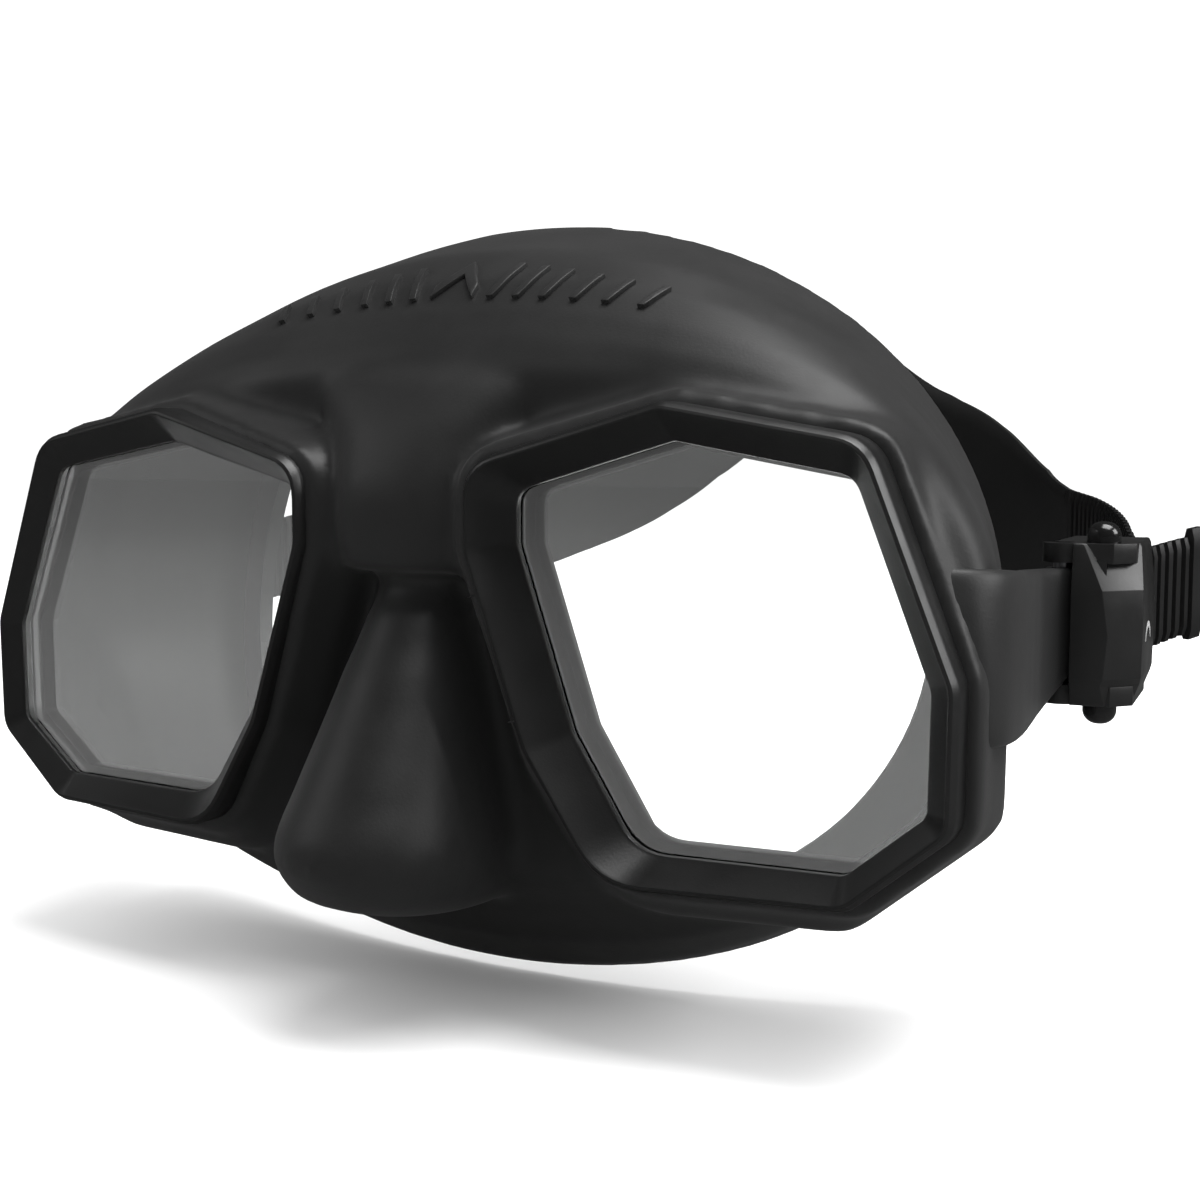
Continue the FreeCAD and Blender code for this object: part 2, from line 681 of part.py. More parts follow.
def make_button(name, sign):
    """Domed push button with a tongue under the side plate and a post for the spring."""
    radius, fit = size("buttonRadius"), size("movingGap")
    tip = size("plateInner") + size("plateThickness") + size("buttonReach")
    shelf = size("plateInner") - fit
    foot = shelf - size("buttonTongue")
    post = foot - size("springPost")
    stem = Part.makeCylinder(radius, tip - foot, Vector(0, 0, foot))
    crown = [edge for edge in stem.Edges if edge.isClosed() and edge.CenterOfMass.z > tip - 0.01]
    stem = stem.makeFillet(0.85 * radius, crown)
    tongue = Part.makeBox(1.6, 2 * size("buttonFlange"), shelf - foot,
                          Vector(-0.8, -size("buttonFlange"), foot))
    peg = Part.makeCylinder(0.6, foot - post, Vector(0, 0, post))
    shape = stem.fuse([tongue, peg]).removeSplitter()
    if sign < 0:
        shape = shape.mirror(Vector(), Vector(0, 0, 1))
    return in_buckle(solid_of(name, shape), "Dims.buttonX", "Dims.buttonY")


def make_button_spring():
    """Compression spring that pushes the two buttons apart."""
    seat = size("plateInner") - size("movingGap") - size("buttonTongue")
    wire, radius = size("springWire") / 2, size("springRadius")
    height = 2 * (seat - wire) - 0.2
    helix = Part.makeHelix(height / 6, height, radius)
    circle = Part.Wire([Part.makeCircle(wire, Vector(radius, 0, 0), Vector(0, 1, 0))])
    coil = Part.Wire(helix.Edges).makePipeShell([circle], True, True)
    coil = coil.transformGeometry(Placement(Vector(0, 0, -height / 2), Rotation()).toMatrix())
    return in_buckle(solid_of("ButtonSpring", coil), "Dims.buttonX", "Dims.buttonY")


def make_pawl():
    """Catch lever whose tooth drops between the strap's ribs."""
    half, thickness = size("pawlHalfHeight"), size("pawlThickness")
    pivot_y, eye = size("pawlPivotY"), size("pawlPinRadius") + 0.25
    nose_y, tooth_y = size("buttonY") - 0.6, size("rollerY") - 0.6
    x0, x1 = size("pawlX") - thickness / 2, size("pawlX") + thickness / 2
    strap_face = size("rollerX") + size("rollerRadius") + size("strapGap") + size("strapThickness")
    arm = prism("PawlArm", [
        (x0, nose_y), (x1, nose_y), (x1, pivot_y), (x0, pivot_y), (x0, tooth_y + 1.2),
        (strap_face + 0.1, tooth_y), (x0, tooth_y),
    ], "z", "2 * Dims.pawlHalfHeight", start=-half)
    barrel = cylinder("PawlEye", str(eye), "2 * Dims.pawlHalfHeight", x="Dims.pawlX",
                      y="Dims.pawlPivotY", z="-Dims.pawlHalfHeight")
    bore = cylinder("PawlBore", "Dims.pawlPinRadius + Dims.pinFit", "4 * Dims.pawlHalfHeight",
                    x="Dims.pawlX", y="Dims.pawlPivotY", z="-2 * Dims.pawlHalfHeight")
    return in_buckle(cut("Pawl", fuse("PawlBlank", arm, barrel), bore))


# ---------------------------------------------------------------- strap

def loop_half_width():
    """Half the width of the strap's oval loop."""
    return size("frontHalfWidth") + size("loopOutset")


def loop_point(degrees, z=0.0):
    """A point on the strap's oval loop, 90 degrees being the back of the head."""
    angle = math.radians(degrees)
    return Vector(loop_half_width() * math.cos(angle),
                  size("loopCentreY") + size("loopHalfDepth") * math.sin(angle), z)


def loop_tangent(degrees):
    """Direction of the loop there, towards the back and the other side."""
    angle = math.radians(degrees)
    return Vector(-loop_half_width() * math.sin(angle),
                  size("loopHalfDepth") * math.cos(angle), 0).normalize()


def smooth_edge(points, first, last):
    """A spline through points with its end directions given."""
    curve = Part.BSplineCurve()
    curve.interpolate(Points=points, InitialTangent=first, FinalTangent=last)
    return curve.toShape()


def ribbon(edges, start, direction, low, high):
    """Sweep the strap's thickness along a flat path, as an upright band."""
    across = Vector(-direction.y, direction.x, 0).normalize() * (size("strapThickness") / 2)
    corners = [start - across, start + across]
    profile = straight_wire([
        corners[0] + Vector(0, 0, low), corners[1] + Vector(0, 0, low),
        corners[1] + Vector(0, 0, high), corners[0] + Vector(0, 0, high),
    ])
    return Part.Wire(edges).makePipeShell([profile], True, False)


def side_band(points):
    """A solid that keeps what lies between the strap's upper and lower edges, as (y, z)."""
    reach = loop_half_width() + 30
    face = Part.Face(straight_wire([Vector(-reach, y, z) for y, z in points]))
    return face.extrude(Vector(2 * reach, 0, 0))


# Where a strap end becomes the back panel, in degrees round the loop.
STRAP_SPLIT = 40.0

# The back panel's edges above the strap end's own, as (degrees round the loop, rise).
PANEL_LOWER = [(40, 6.2), (43, 5.5), (51, 4), (60, 7), (66, 10), (72, 14), (79, 20), (90, 29)]
PANEL_UPPER = [
    (40, 7.4), (44, 9.4), (54, 16.2), (62, 20.2), (67, 22.9), (74, 27.4), (81, 32.4), (90, 37.4),
]


def make_strap_end():
    """Ribbed end of the strap: from the back panel, round the roller, to its loose tail."""
    yaw = math.radians(size("buckleYaw"))
    rearward = Vector(-math.sin(yaw), math.cos(yaw), 0)
    centre = size("rollerRadius") + size("strapGap") + size("strapThickness") / 2
    roller_x, roller_y = size("rollerX"), size("rollerY")
    exit_y = size("plateRear")

    def spot(x, y):
        return Vector(*buckle_point(x, y), 0)

    flare, tail_length = size("tailFlare"), size("tailLength")
    tail_end = spot(roller_x + centre + flare, exit_y + tail_length)
    tail = smooth_edge([tail_end, spot(roller_x + centre + 0.28 * flare, exit_y + tail_length / 2),
                        spot(roller_x + centre, exit_y)],
                       Vector(-0.65, -1, 0).normalize(), rearward * -1)
    outside = Part.makeLine(spot(roller_x + centre, exit_y), spot(roller_x + centre, roller_y))
    turn = Part.Arc(spot(roller_x + centre, roller_y), spot(roller_x, roller_y - centre),
                    spot(roller_x - centre, roller_y)).toShape()
    inside = Part.makeLine(spot(roller_x - centre, roller_y), spot(roller_x - centre, exit_y))
    back = smooth_edge([spot(roller_x - centre, exit_y)] + [loop_point(a) for a in (10, 20, 30)]
                       + [loop_point(STRAP_SPLIT)], rearward, loop_tangent(STRAP_SPLIT))
    middle, half = size("buckleZ"), size("strapWidth") / 2
    low, high = middle - 3 * half, middle + 4 * half
    end_y = loop_point(STRAP_SPLIT).y
    stop_y, stop = tail_end.y - 4.5, size("tailStop")
    exit = spot(roller_x, exit_y).y
    band = ribbon([back], loop_point(STRAP_SPLIT), loop_tangent(STRAP_SPLIT), low, high)
    band = band.common(side_band([
        (exit - 10, middle - half), (exit + 3, middle - half), (exit + 29, middle - half + 4.8),
        (end_y + 9, middle - half + 6.4), (end_y + 9, middle + half + 7.4),
        (exit + 29, middle + half + 4.0), (exit + 3, middle + half), (exit - 10, middle + half),
    ]))
    loop = ribbon([inside, turn, outside], spot(roller_x - centre, exit_y), rearward,
                  middle - half, middle + half)
    loose = ribbon([tail], spot(roller_x + centre, exit_y), rearward, low, high)
    loose = loose.common(side_band([
        (exit - 10, middle - half), (exit + 1, middle - half), (stop_y, middle - half + 3),
        (stop_y, middle - half + 3 - stop), (stop_y + 9, middle - half + 3.4 - stop),
        (stop_y + 9, middle + half + 3.4 + stop), (stop_y, middle + half + 3 + stop),
        (stop_y, middle + half + 3), (exit + 1, middle + half), (exit - 10, middle + half),
    ]))
    strap = loop.fuse([band, loose]).removeSplitter()
    return in_mask(solid_of("StrapEnd", strap))


def make_strap_band():
    """Wide back panel of the strap, split by a slot behind the head."""
    angles = [STRAP_SPLIT, 55, 72.5, 90, 107.5, 125, 180 - STRAP_SPLIT]
    path = smooth_edge([loop_point(a) for a in angles], loop_tangent(STRAP_SPLIT),
                       loop_tangent(180 - STRAP_SPLIT))
    middle, half = size("buckleZ"), size("strapWidth") / 2
    strap = ribbon([path], loop_point(STRAP_SPLIT), loop_tangent(STRAP_SPLIT),
                   middle - 3 * half, middle + 9 * half)
    edge = [(loop_point(0).y, middle - half + PANEL_LOWER[0][1])]
    edge += [(loop_point(a).y, middle - half + rise) for a, rise in PANEL_LOWER]
    edge += [(loop_point(90).y + 5, middle - half + PANEL_LOWER[-1][1])]
    edge += [(loop_point(90).y + 5, middle + half + PANEL_UPPER[-1][1])]
    edge += [(loop_point(a).y, middle + half + rise) for a, rise in reversed(PANEL_UPPER)]
    edge += [(loop_point(0).y, middle + half + PANEL_UPPER[0][1])]
    strap = strap.common(side_band(edge))
    slot_z = middle + half + 24.5
    slot = [
        (-18, slot_z - 9), (-9, slot_z - 2.5), (0, slot_z), (9, slot_z - 2.5), (18, slot_z - 9),
        (9, slot_z + 3.5), (0, slot_z + 6), (-9, slot_z + 3.5),
    ]
    back_y = loop_point(90).y
    strap = strap.cut(outline_prism(slot, back_y - 20, back_y + 20))
    return in_mask(solid_of("StrapBand", strap))


# ---------------------------------------------------------------- assembly

doc.recompute()
PLATE_SPAN = "2 * (Dims.plateInner + Dims.plateThickness)"

keep(make_skirt(), "skirt")
keep(make_nose_pocket(), "nose_pocket")
keep_pair(make_ear(), "strap_ear")
keep_pair(make_bezel(), "bezel")
keep_pair(make_lens(), "lens")
keep_pair(make_clamp_ring(), "clamp_ring")
keep_pair(in_buckle(make_pin("EarPin", "earPinRadius", PLATE_SPAN + " - 0.4")), "ear_pin")
keep_pair(make_buckle_base(), "buckle_base")
keep_pair(make_buckle_cover(), "buckle_cover")
keep_pair(make_roller(), "roller")
keep_pair(in_buckle(make_pin("RollerPin", "rollerPinRadius", PLATE_SPAN + " - 0.6"),
                    "Dims.rollerX", "Dims.rollerY"), "roller_pin")
keep_pair(make_pawl(), "strap_catch")
keep_pair(in_buckle(make_pin("PawlPin", "pawlPinRadius", PLATE_SPAN + " - 0.6"),
                    "Dims.pawlX", "Dims.pawlPivotY"), "catch_pin")
keep_pair(make_button("UpperButton", 1), "upper_button")
keep_pair(make_button("LowerButton", -1), "lower_button")
keep_pair(make_button_spring(), "button_spring")
keep_pair(make_strap_end(), "strap_end")
keep(make_strap_band(), "strap_band")

doc.recompute()
for obj in doc.Objects:
    if "Invalid" in obj.State or "Error" in obj.State:
        raise RuntimeError(f"{obj.Name} did not recompute: {obj.State}")
os.makedirs("parts", exist_ok=True)
for piece in PIECES:
    if piece.Shape.isNull() or not piece.Shape.isValid() or not piece.Shape.Solids:
        raise RuntimeError(f"{piece.Label} has no valid solid")
    piece.Shape.exportStep(f"parts/{piece.Label}.step")
    print(f"{piece.Label}: {len(piece.Shape.Solids)} solid, {piece.Shape.Volume:.1f} mm3")
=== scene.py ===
"""Looks of a low-volume diving mask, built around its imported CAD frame.

Row frame: +Z up, the mask looks along -Y, +X is the wearer's left.  Most sizes below are in
millimetres in the glass frame, whose origin lies on the front face of the glass between the two
windows, or in a buckle's own frame, whose origin is its ear pin, with x outwards and y to the rear.
"""

import logging
import math
from dataclasses import dataclass, field
from enum import Enum
from typing import Callable, Sequence

import bpy
from mathutils import Matrix, Vector


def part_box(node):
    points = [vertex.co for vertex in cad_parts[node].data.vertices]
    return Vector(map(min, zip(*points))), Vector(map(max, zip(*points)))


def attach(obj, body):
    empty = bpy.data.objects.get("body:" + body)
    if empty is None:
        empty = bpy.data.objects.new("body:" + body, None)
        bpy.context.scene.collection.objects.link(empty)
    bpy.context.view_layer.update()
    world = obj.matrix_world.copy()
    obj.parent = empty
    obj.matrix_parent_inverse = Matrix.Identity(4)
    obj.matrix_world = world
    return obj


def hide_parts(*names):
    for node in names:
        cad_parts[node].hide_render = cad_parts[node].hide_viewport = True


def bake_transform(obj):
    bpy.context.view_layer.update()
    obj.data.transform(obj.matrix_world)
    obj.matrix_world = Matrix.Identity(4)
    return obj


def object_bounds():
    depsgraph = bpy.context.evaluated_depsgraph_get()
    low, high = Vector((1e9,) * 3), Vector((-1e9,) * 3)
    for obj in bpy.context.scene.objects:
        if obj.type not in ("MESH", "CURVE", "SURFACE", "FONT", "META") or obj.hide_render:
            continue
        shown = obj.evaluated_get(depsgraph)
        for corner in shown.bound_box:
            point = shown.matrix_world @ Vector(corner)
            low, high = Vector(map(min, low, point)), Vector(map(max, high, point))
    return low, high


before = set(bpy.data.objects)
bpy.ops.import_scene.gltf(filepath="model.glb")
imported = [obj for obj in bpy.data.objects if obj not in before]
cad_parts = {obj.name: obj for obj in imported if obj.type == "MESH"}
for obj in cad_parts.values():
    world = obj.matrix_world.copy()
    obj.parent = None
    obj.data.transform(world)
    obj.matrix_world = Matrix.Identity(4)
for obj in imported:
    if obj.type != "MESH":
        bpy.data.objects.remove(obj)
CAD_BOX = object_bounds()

LOG = logging.getLogger("diving_mask")
MM = 0.001
TAU = 2 * math.pi
# How far along a path, in knots, its direction is measured to each side.
PATH_STEP = 0.02

Point2 = tuple[float, float]
Piece = bpy.types.Object
PathRow = tuple[Vector, Vector, float, float, float, float]
Colour = tuple[float, float, float, float]


class Side(Enum):
    """Wearer's left or right, with the sign of X there."""

    LEFT = 1
    RIGHT = -1

    @property
    def word(self) -> str:
        """The side's name in lower case."""
        return self.name.lower()


# ---------------------------------------------------------------- places

def glass(x: float, y: float, z: float) -> Vector:
    """A point of the glass frame, given in millimetres, in the row frame."""
    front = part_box("lens_left")[0].y
    return Vector((x * MM, front + y * MM, z * MM))


@dataclass(frozen=True)
class BuckleFrame:
    """Where a buckle sits: its ear pin's axis and its yaw about it."""

    side: Side
    yaw: float = math.radians(6.0)

    @property
    def origin(self) -> Vector:
        """Middle of the ear pin, in the row frame."""
        low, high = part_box(f"ear_pin_{self.side.word}")
        return (low + high) / 2

    def at(self, x: float, y: float, z: float = 0.0) -> Vector:
        """A point of the buckle, given in millimetres, in the row frame."""
        cos, sin = math.cos(self.yaw), math.sin(self.yaw)
        step = Vector((self.side.value * (x * cos - y * sin), x * sin + y * cos, z)) * MM
        return self.origin + step


def spline(points: Sequence[Sequence[float]], t: float) -> list[float]:
    """Catmull-Rom curve through points.

    Args:
        points: Values in order, each a sequence of the same length.
        t: Place along the curve, from 0 to the number of points less one.

    Returns:
        The values there.
    """
    last = len(points) - 1
    i = min(int(max(t, 0.0)), last - 1)
    f = min(max(t - i, 0.0), 1.0)
    a, b, c, d = (points[min(max(k, 0), last)] for k in (i - 1, i, i + 1, i + 2))
    return [
        0.5 * (2 * q + (r - p) * f + (2 * p - 5 * q + 4 * r - s) * f**2
               + (3 * q - p - 3 * r + s) * f**3)
        for p, q, r, s in zip(a, b, c, d)
    ]


def along(table: Sequence[Sequence[float]], key: float) -> list[float]:
    """Smooth values from a table of (key, value, ...) rows in rising order of key."""
    key = min(max(key, table[0][0]), table[-1][0])
    i = max(k for k in range(len(table) - 1) if table[k][0] <= key + 1e-9)
    f = (key - table[i][0]) / (table[i + 1][0] - table[i][0])
    return spline([row[1:] for row in table], i + f)


def signed_power(value: float, exponent: float) -> float:
    """A power that keeps the value's sign; on a sine and a cosine it squares off a circle."""
    return math.copysign(abs(value) ** exponent, value)


def around(count: int) -> list[tuple[float, float]]:
    """Cosine and sine of evenly spaced angles around a circle."""
    return [(math.cos(TAU * k / count), math.sin(TAU * k / count)) for k in range(count)]


def arc(x: float, y: float, radius: float, angles: Sequence[float]) -> list[Point2]:
    """Points on a circle at the given angles in radians."""
    return [(x + radius * math.cos(a), y + radius * math.sin(a)) for a in angles]


def path_lengths(places: Sequence[Vector]) -> list[float]:
    """Millimetres along a path from its start to each of its places."""
    lengths = [0.0]
    for before, after in zip(places, places[1:]):
        lengths.append(lengths[-1] + (after - before).length / MM)
    return lengths


# ---------------------------------------------------------------- modelling

def pick_nothing() -> None:
    """Deselect every object."""
    bpy.ops.object.select_all(action="DESELECT")


def pick(obj: Piece) -> None:
    """Select one object alone and make it active."""
    pick_nothing()
    obj.select_set(True)
    bpy.context.view_layer.objects.active = obj


def edit_all(obj: Piece, *actions: Callable[[], object]) -> None:
    """Run edit-mode actions on all of one object."""
    pick(obj)
    bpy.ops.object.mode_set(mode="EDIT")
    for action in actions:
        bpy.ops.mesh.select_all(action="SELECT")
        action()
    bpy.ops.object.mode_set(mode="OBJECT")


def weld() -> None:
    """Merge the points that lie on each other."""
    bpy.ops.mesh.remove_doubles(threshold=1e-7)


def cap_ends() -> None:
    """Fill the open ends of the mesh in edit mode."""
    bpy.ops.mesh.select_all(action="DESELECT")
    bpy.ops.mesh.select_mode(type="EDGE")
    bpy.ops.mesh.select_non_manifold()
    bpy.ops.mesh.edge_face_add()


def face_outwards() -> None:
    """Turn the selected faces outwards."""
    bpy.ops.mesh.normals_make_consistent(inside=False)


def flat_shape(points: Sequence[Vector]) -> Piece:
    """One flat face with its corners at the given points."""
    pick_nothing()
    bpy.ops.mesh.primitive_circle_add(vertices=len(points), fill_type="NGON")
    shape = bpy.context.object
    for vertex, point in zip(shape.data.vertices, points):
        vertex.co = point
    return shape


def grid(name: str, rows: int, columns: int, place: Callable[[float, float], Vector],
         wrap: bool = False, closed: bool = False) -> Piece:
    """A grid primitive whose points are moved to their places.

    Args:
        name: Name of the piece.
        rows: Faces along the first parameter.
        columns: Faces along the second one.
        place: Gives a point's place from its two parameters, each from 0 to 1.
        wrap: Joins the last column to the first.
        closed: Joins the last row to the first as well.

    Returns:
        The new object.
    """
    pick_nothing()
    bpy.ops.mesh.primitive_grid_add(x_subdivisions=rows, y_subdivisions=columns, size=1)
    obj = bpy.context.object
    obj.name = name
    for vertex in obj.data.vertices:
        vertex.co = place(vertex.co.x + 0.5, vertex.co.y + 0.5)
    if wrap:
        edit_all(obj, weld, *(() if closed else (cap_ends,)), face_outwards)
    return obj


def modify(obj: Piece, kind: str, **settings: object) -> None:
    """Add a modifier and apply it at once."""
    pick(obj)
    modifier = obj.modifiers.new(kind.title(), kind)
    for key, value in settings.items():
        setattr(modifier, key, value)
    bpy.ops.object.modifier_apply(modifier=modifier.name)


def carve(obj: Piece, tool: Piece) -> None:
    """Cut a tool out of an object; faces left by the tool keep the tool's material index."""
    modify(obj, "BOOLEAN", operation="DIFFERENCE", object=tool, solver="EXACT")
    bpy.data.objects.remove(tool)


def mark(obj: Piece, index: int) -> None:
    """Give all faces a material index: 0 on a body and 1 on what cuts it open."""
    obj.data.materials.clear()
    for name in ("kept", "cut"):
        obj.data.materials.append(bpy.data.materials.get(name) or bpy.data.materials.new(name))
    for face in obj.data.polygons:
        face.material_index = index


def delete_cut_faces(obj: Piece) -> None:
    """Delete the faces with material index 1, which leaves the cuts open."""
    pick(obj)
    bpy.ops.object.mode_set(mode="EDIT")
    bpy.ops.mesh.select_mode(type="FACE")
    bpy.ops.mesh.select_all(action="DESELECT")
    bpy.ops.object.mode_set(mode="OBJECT")
    for face in obj.data.polygons:
        face.select = face.material_index == 1
    bpy.ops.object.mode_set(mode="EDIT")
    bpy.ops.mesh.delete(type="FACE")
    bpy.ops.object.mode_set(mode="OBJECT")


def chamfer(obj: Piece, width: float, segments: int, angle: float) -> None:
    """Round the edges sharper than an angle, with a width in millimetres."""
    modify(obj, "BEVEL", width=width * MM, segments=segments, limit_method="ANGLE",
           angle_limit=math.radians(angle))


def join(name: str, pieces: Sequence[Piece]) -> Piece:
    """Join pieces into one object."""
    pick_nothing()
    for piece in pieces:
        piece.select_set(True)
    bpy.context.view_layer.objects.active = pieces[0]
    bpy.ops.object.join()
    pieces[0].name = name
    return pieces[0]


def smooth(obj: Piece, angle: float = 30.0) -> None:
    """Smooth shading, with edges sharper than the angle left sharp."""
    pick(obj)
    bpy.ops.object.shade_smooth_by_angle(angle=math.radians(angle))


def mirror(obj: Piece) -> None:
    """Mirror an object across the mask's middle plane and turn its faces outwards again."""
    obj.data.transform(Matrix.Scale(-1, 4, Vector((1, 0, 0))))
    edit_all(obj, bpy.ops.mesh.flip_normals)


def mirror_copy(obj: Piece, name: str) -> Piece:
    """A mirror image with its own mesh."""
    pick(obj)
    bpy.ops.object.duplicate()
    copy = bpy.context.object
    copy.name = name
    mirror(copy)
    return copy


def loft(name: str, sections: Sequence[Sequence[Vector]], closed: bool = False) -> Piece:
    """A skin over closed sections of equal length.

    Args:
        name: Name of the piece.
        sections: Closed outlines in order, each without its first point repeated.
        closed: Joins the last section to the first, as in a ring.
    """
    count = len(sections[0])
    turns = list(sections) + ([sections[0]] if closed else [])

    def place(u: float, v: float) -> Vector:
        return turns[round(u * (len(turns) - 1))][round(v * count) % count]

    return grid(name, len(turns) - 1, count, place, wrap=True, closed=closed)


# ---------------------------------------------------------------- finishes

def linear(code: str) -> Colour:
    """An sRGB hex colour as linear RGBA."""
    values = [int(code.lstrip("#")[i:i + 2], 16) / 255 for i in (0, 2, 4)]
    return (*(v / 12.92 if v <= 0.04045 else ((v + 0.055) / 1.055) ** 2.4 for v in values), 1.0)


def add_node(tree: bpy.types.NodeTree, kind: str, settings: dict[str, object] | None = None,
             **sockets: object) -> bpy.types.Node:
    """Add a node.

    Args:
        tree: Node tree that gets it.
        kind: Node type, such as ShaderNodeBump.
        settings: The node's own properties.
        sockets: Input values or links; underscores stand for spaces in an input's name.

    Returns:
        The node.
    """
    node = tree.nodes.new(kind)
    for key, value in (settings or {}).items():
        setattr(node, key, value)
    for key, value in sockets.items():
        socket = node.inputs[key.replace("_", " ")]
        if isinstance(value, bpy.types.NodeSocket):
            tree.links.new(value, socket)
        else:
            socket.default_value = value
    return node


def start_material(name: str) -> tuple[bpy.types.Material, bpy.types.NodeSocket]:
    """A new material without nodes but one, and that node's object coordinates."""
    made = bpy.data.materials.new(name)
    made.use_nodes = True
    made.node_tree.nodes.clear()
    return made, add_node(made.node_tree, "ShaderNodeTexCoord").outputs["Object"]


def mix(tree: bpy.types.NodeTree, share: bpy.types.NodeSocket, first: Colour | bpy.types.NodeSocket,
        second: Colour) -> bpy.types.NodeSocket:
    """A colour between two, by the share of the second one."""
    node = add_node(tree, "ShaderNodeMix", {"data_type": "RGBA"})
    tree.links.new(share, node.inputs["Factor"])
    if isinstance(first, bpy.types.NodeSocket):
        tree.links.new(first, node.inputs["A"])
    else:
        node.inputs["A"].default_value = first
    node.inputs["B"].default_value = second
    return node.outputs["Result"]


@dataclass(frozen=True)
class Finish:
    """A moulded or drawn surface: two close tones, a grain in relief and a soft unevenness."""

    name: str
    tone: str
    worn: str
    roughness: float
    ior: float
    grain_mm: float
    grain_depth_mm: float
    patch_mm: float
    metallic: float = 0.0
    streak: float = 1.0
    roughness_span: float = 0.12
    sheen: float = 0.0

    def material(self) -> bpy.types.Material:
        """Build the material with its tone, unevenness and grain on object coordinates."""
        made, place = start_material(self.name)
        tree = made.node_tree
        scale = add_node(tree, "ShaderNodeMapping", Vector=place, Scale=(1.0, 1.0, self.streak))
        spot = scale.outputs["Vector"]
        patches = add_node(tree, "ShaderNodeTexNoise", Vector=spot, Scale=1 / (self.patch_mm * MM),
                           Detail=4.0, Roughness=0.6)
        tone = mix(tree, patches.outputs["Fac"], linear(self.tone), linear(self.worn))
        gloss = add_node(tree, "ShaderNodeMapRange", Value=patches.outputs["Fac"])
        # Noise rarely leaves this range.
        gloss.inputs["From Min"].default_value = 0.3
        gloss.inputs["From Max"].default_value = 0.7
        gloss.inputs["To Min"].default_value = self.roughness - self.roughness_span / 2
        gloss.inputs["To Max"].default_value = self.roughness + self.roughness_span / 2
        grain = add_node(tree, "ShaderNodeTexNoise", Vector=spot, Scale=1 / (self.grain_mm * MM),
                         Detail=2.0, Roughness=0.5)
        bump = add_node(tree, "ShaderNodeBump", Height=grain.outputs["Fac"], Strength=1.0,
                        Distance=self.grain_depth_mm * MM)
        shader = add_node(tree, "ShaderNodeBsdfPrincipled", Base_Color=tone,
                          Roughness=gloss.outputs["Result"], IOR=self.ior, Metallic=self.metallic,
                          Sheen_Weight=self.sheen, Normal=bump.outputs["Normal"])
        add_node(tree, "ShaderNodeOutputMaterial", Surface=shader.outputs["BSDF"])
        return made


@dataclass(frozen=True)
class GlassFinish:
    """Tempered float glass: sharp reflections from faintly uneven faces."""

    name: str = "tempered_float_glass"
    tint: str = "#fbfdfc"
    ior: float = 1.52
    smear_mm: float = 9.0
    wave_um: float = 1.0

    def material(self) -> bpy.types.Material:
        """Build a clear glass whose faces are faintly uneven."""
        made, place = start_material(self.name)
        tree = made.node_tree
        smear = add_node(tree, "ShaderNodeTexNoise", Vector=place, Scale=1 / (self.smear_mm * MM),
                         Detail=3.0)
        waviness = add_node(tree, "ShaderNodeBump", Height=smear.outputs["Fac"], Strength=1.0,
                            Distance=self.wave_um * 0.001 * MM)
        shader = add_node(tree, "ShaderNodeBsdfPrincipled", Base_Color=linear(self.tint),
                          Roughness=0.0, IOR=self.ior, Transmission_Weight=1.0,
                          Normal=waviness.outputs["Normal"])
        add_node(tree, "ShaderNodeOutputMaterial", Surface=shader.outputs["BSDF"])
        return made


# Liquid silicone rubber from a fine-blasted mould: satin black, soft broad highlights.
SKIRT_SILICONE = Finish("blasted_mould_silicone", "#101010", "#161616", roughness=0.46, ior=1.41,
                        grain_mm=0.35, grain_depth_mm=0.012, patch_mm=14.0, sheen=0.04)
# The strap's silicone comes from a polished mould: darker, with a little more gloss.
STRAP_SILICONE = Finish("polished_mould_silicone", "#0c0c0c", "#111111", roughness=0.42, ior=1.41,
                        grain_mm=0.5, grain_depth_mm=0.008, patch_mm=9.0)
# Glass-filled nylon rims, injection moulded with a fine spark-eroded texture: satin, tight edges.
RIM_NYLON = Finish("spark_textured_nylon", "#0c0c0c", "#111111", roughness=0.38, ior=1.53,
                   grain_mm=0.28, grain_depth_mm=0.01, patch_mm=11.0)
# Acetal buckle, moulded smooth: a slightly waxy gloss that lights its facets.
BUCKLE_ACETAL = Finish("moulded_acetal", "#101010", "#171717", roughness=0.34, ior=1.48,
                       grain_mm=0.4, grain_depth_mm=0.006, patch_mm=7.0)
# Polished ABS push buttons: small sharp highlights.
BUTTON_ABS = Finish("polished_abs", "#0c0c0c", "#121212", roughness=0.2, ior=1.53,
                    grain_mm=0.8, grain_depth_mm=0.003, patch_mm=5.0)
# Drawn stainless wire pins and spring: fine lengthwise streaks.
DRAWN_STEEL = Finish("drawn_stainless_steel", "#b9babc", "#a4a5a8", roughness=0.28, ior=1.5,
                     grain_mm=0.2, grain_depth_mm=0.004, patch_mm=1.5, metallic=1.0, streak=0.1)
# Pad-printed inlay on the buckle: matt grey ink.
INLAY_INK = Finish("pad_printed_ink", "#9a9a9a", "#8c8c8c", roughness=0.55, ior=1.5,
                   grain_mm=0.3, grain_depth_mm=0.004, patch_mm=3.0)


def rough_reflection(tree: bpy.types.NodeTree) -> bpy.types.NodeSocket:
    """1 for a ray that left a rough surface's gloss, and 0 for any other ray."""
    path = add_node(tree, "ShaderNodeLightPath")
    share = add_node(tree, "ShaderNodeMath", {"operation": "SUBTRACT", "use_clamp": True})
    tree.links.new(path.outputs["Is Glossy Ray"], share.inputs[0])
    tree.links.new(path.outputs["Is Singular Ray"], share.inputs[1])
    return share.outputs[0]


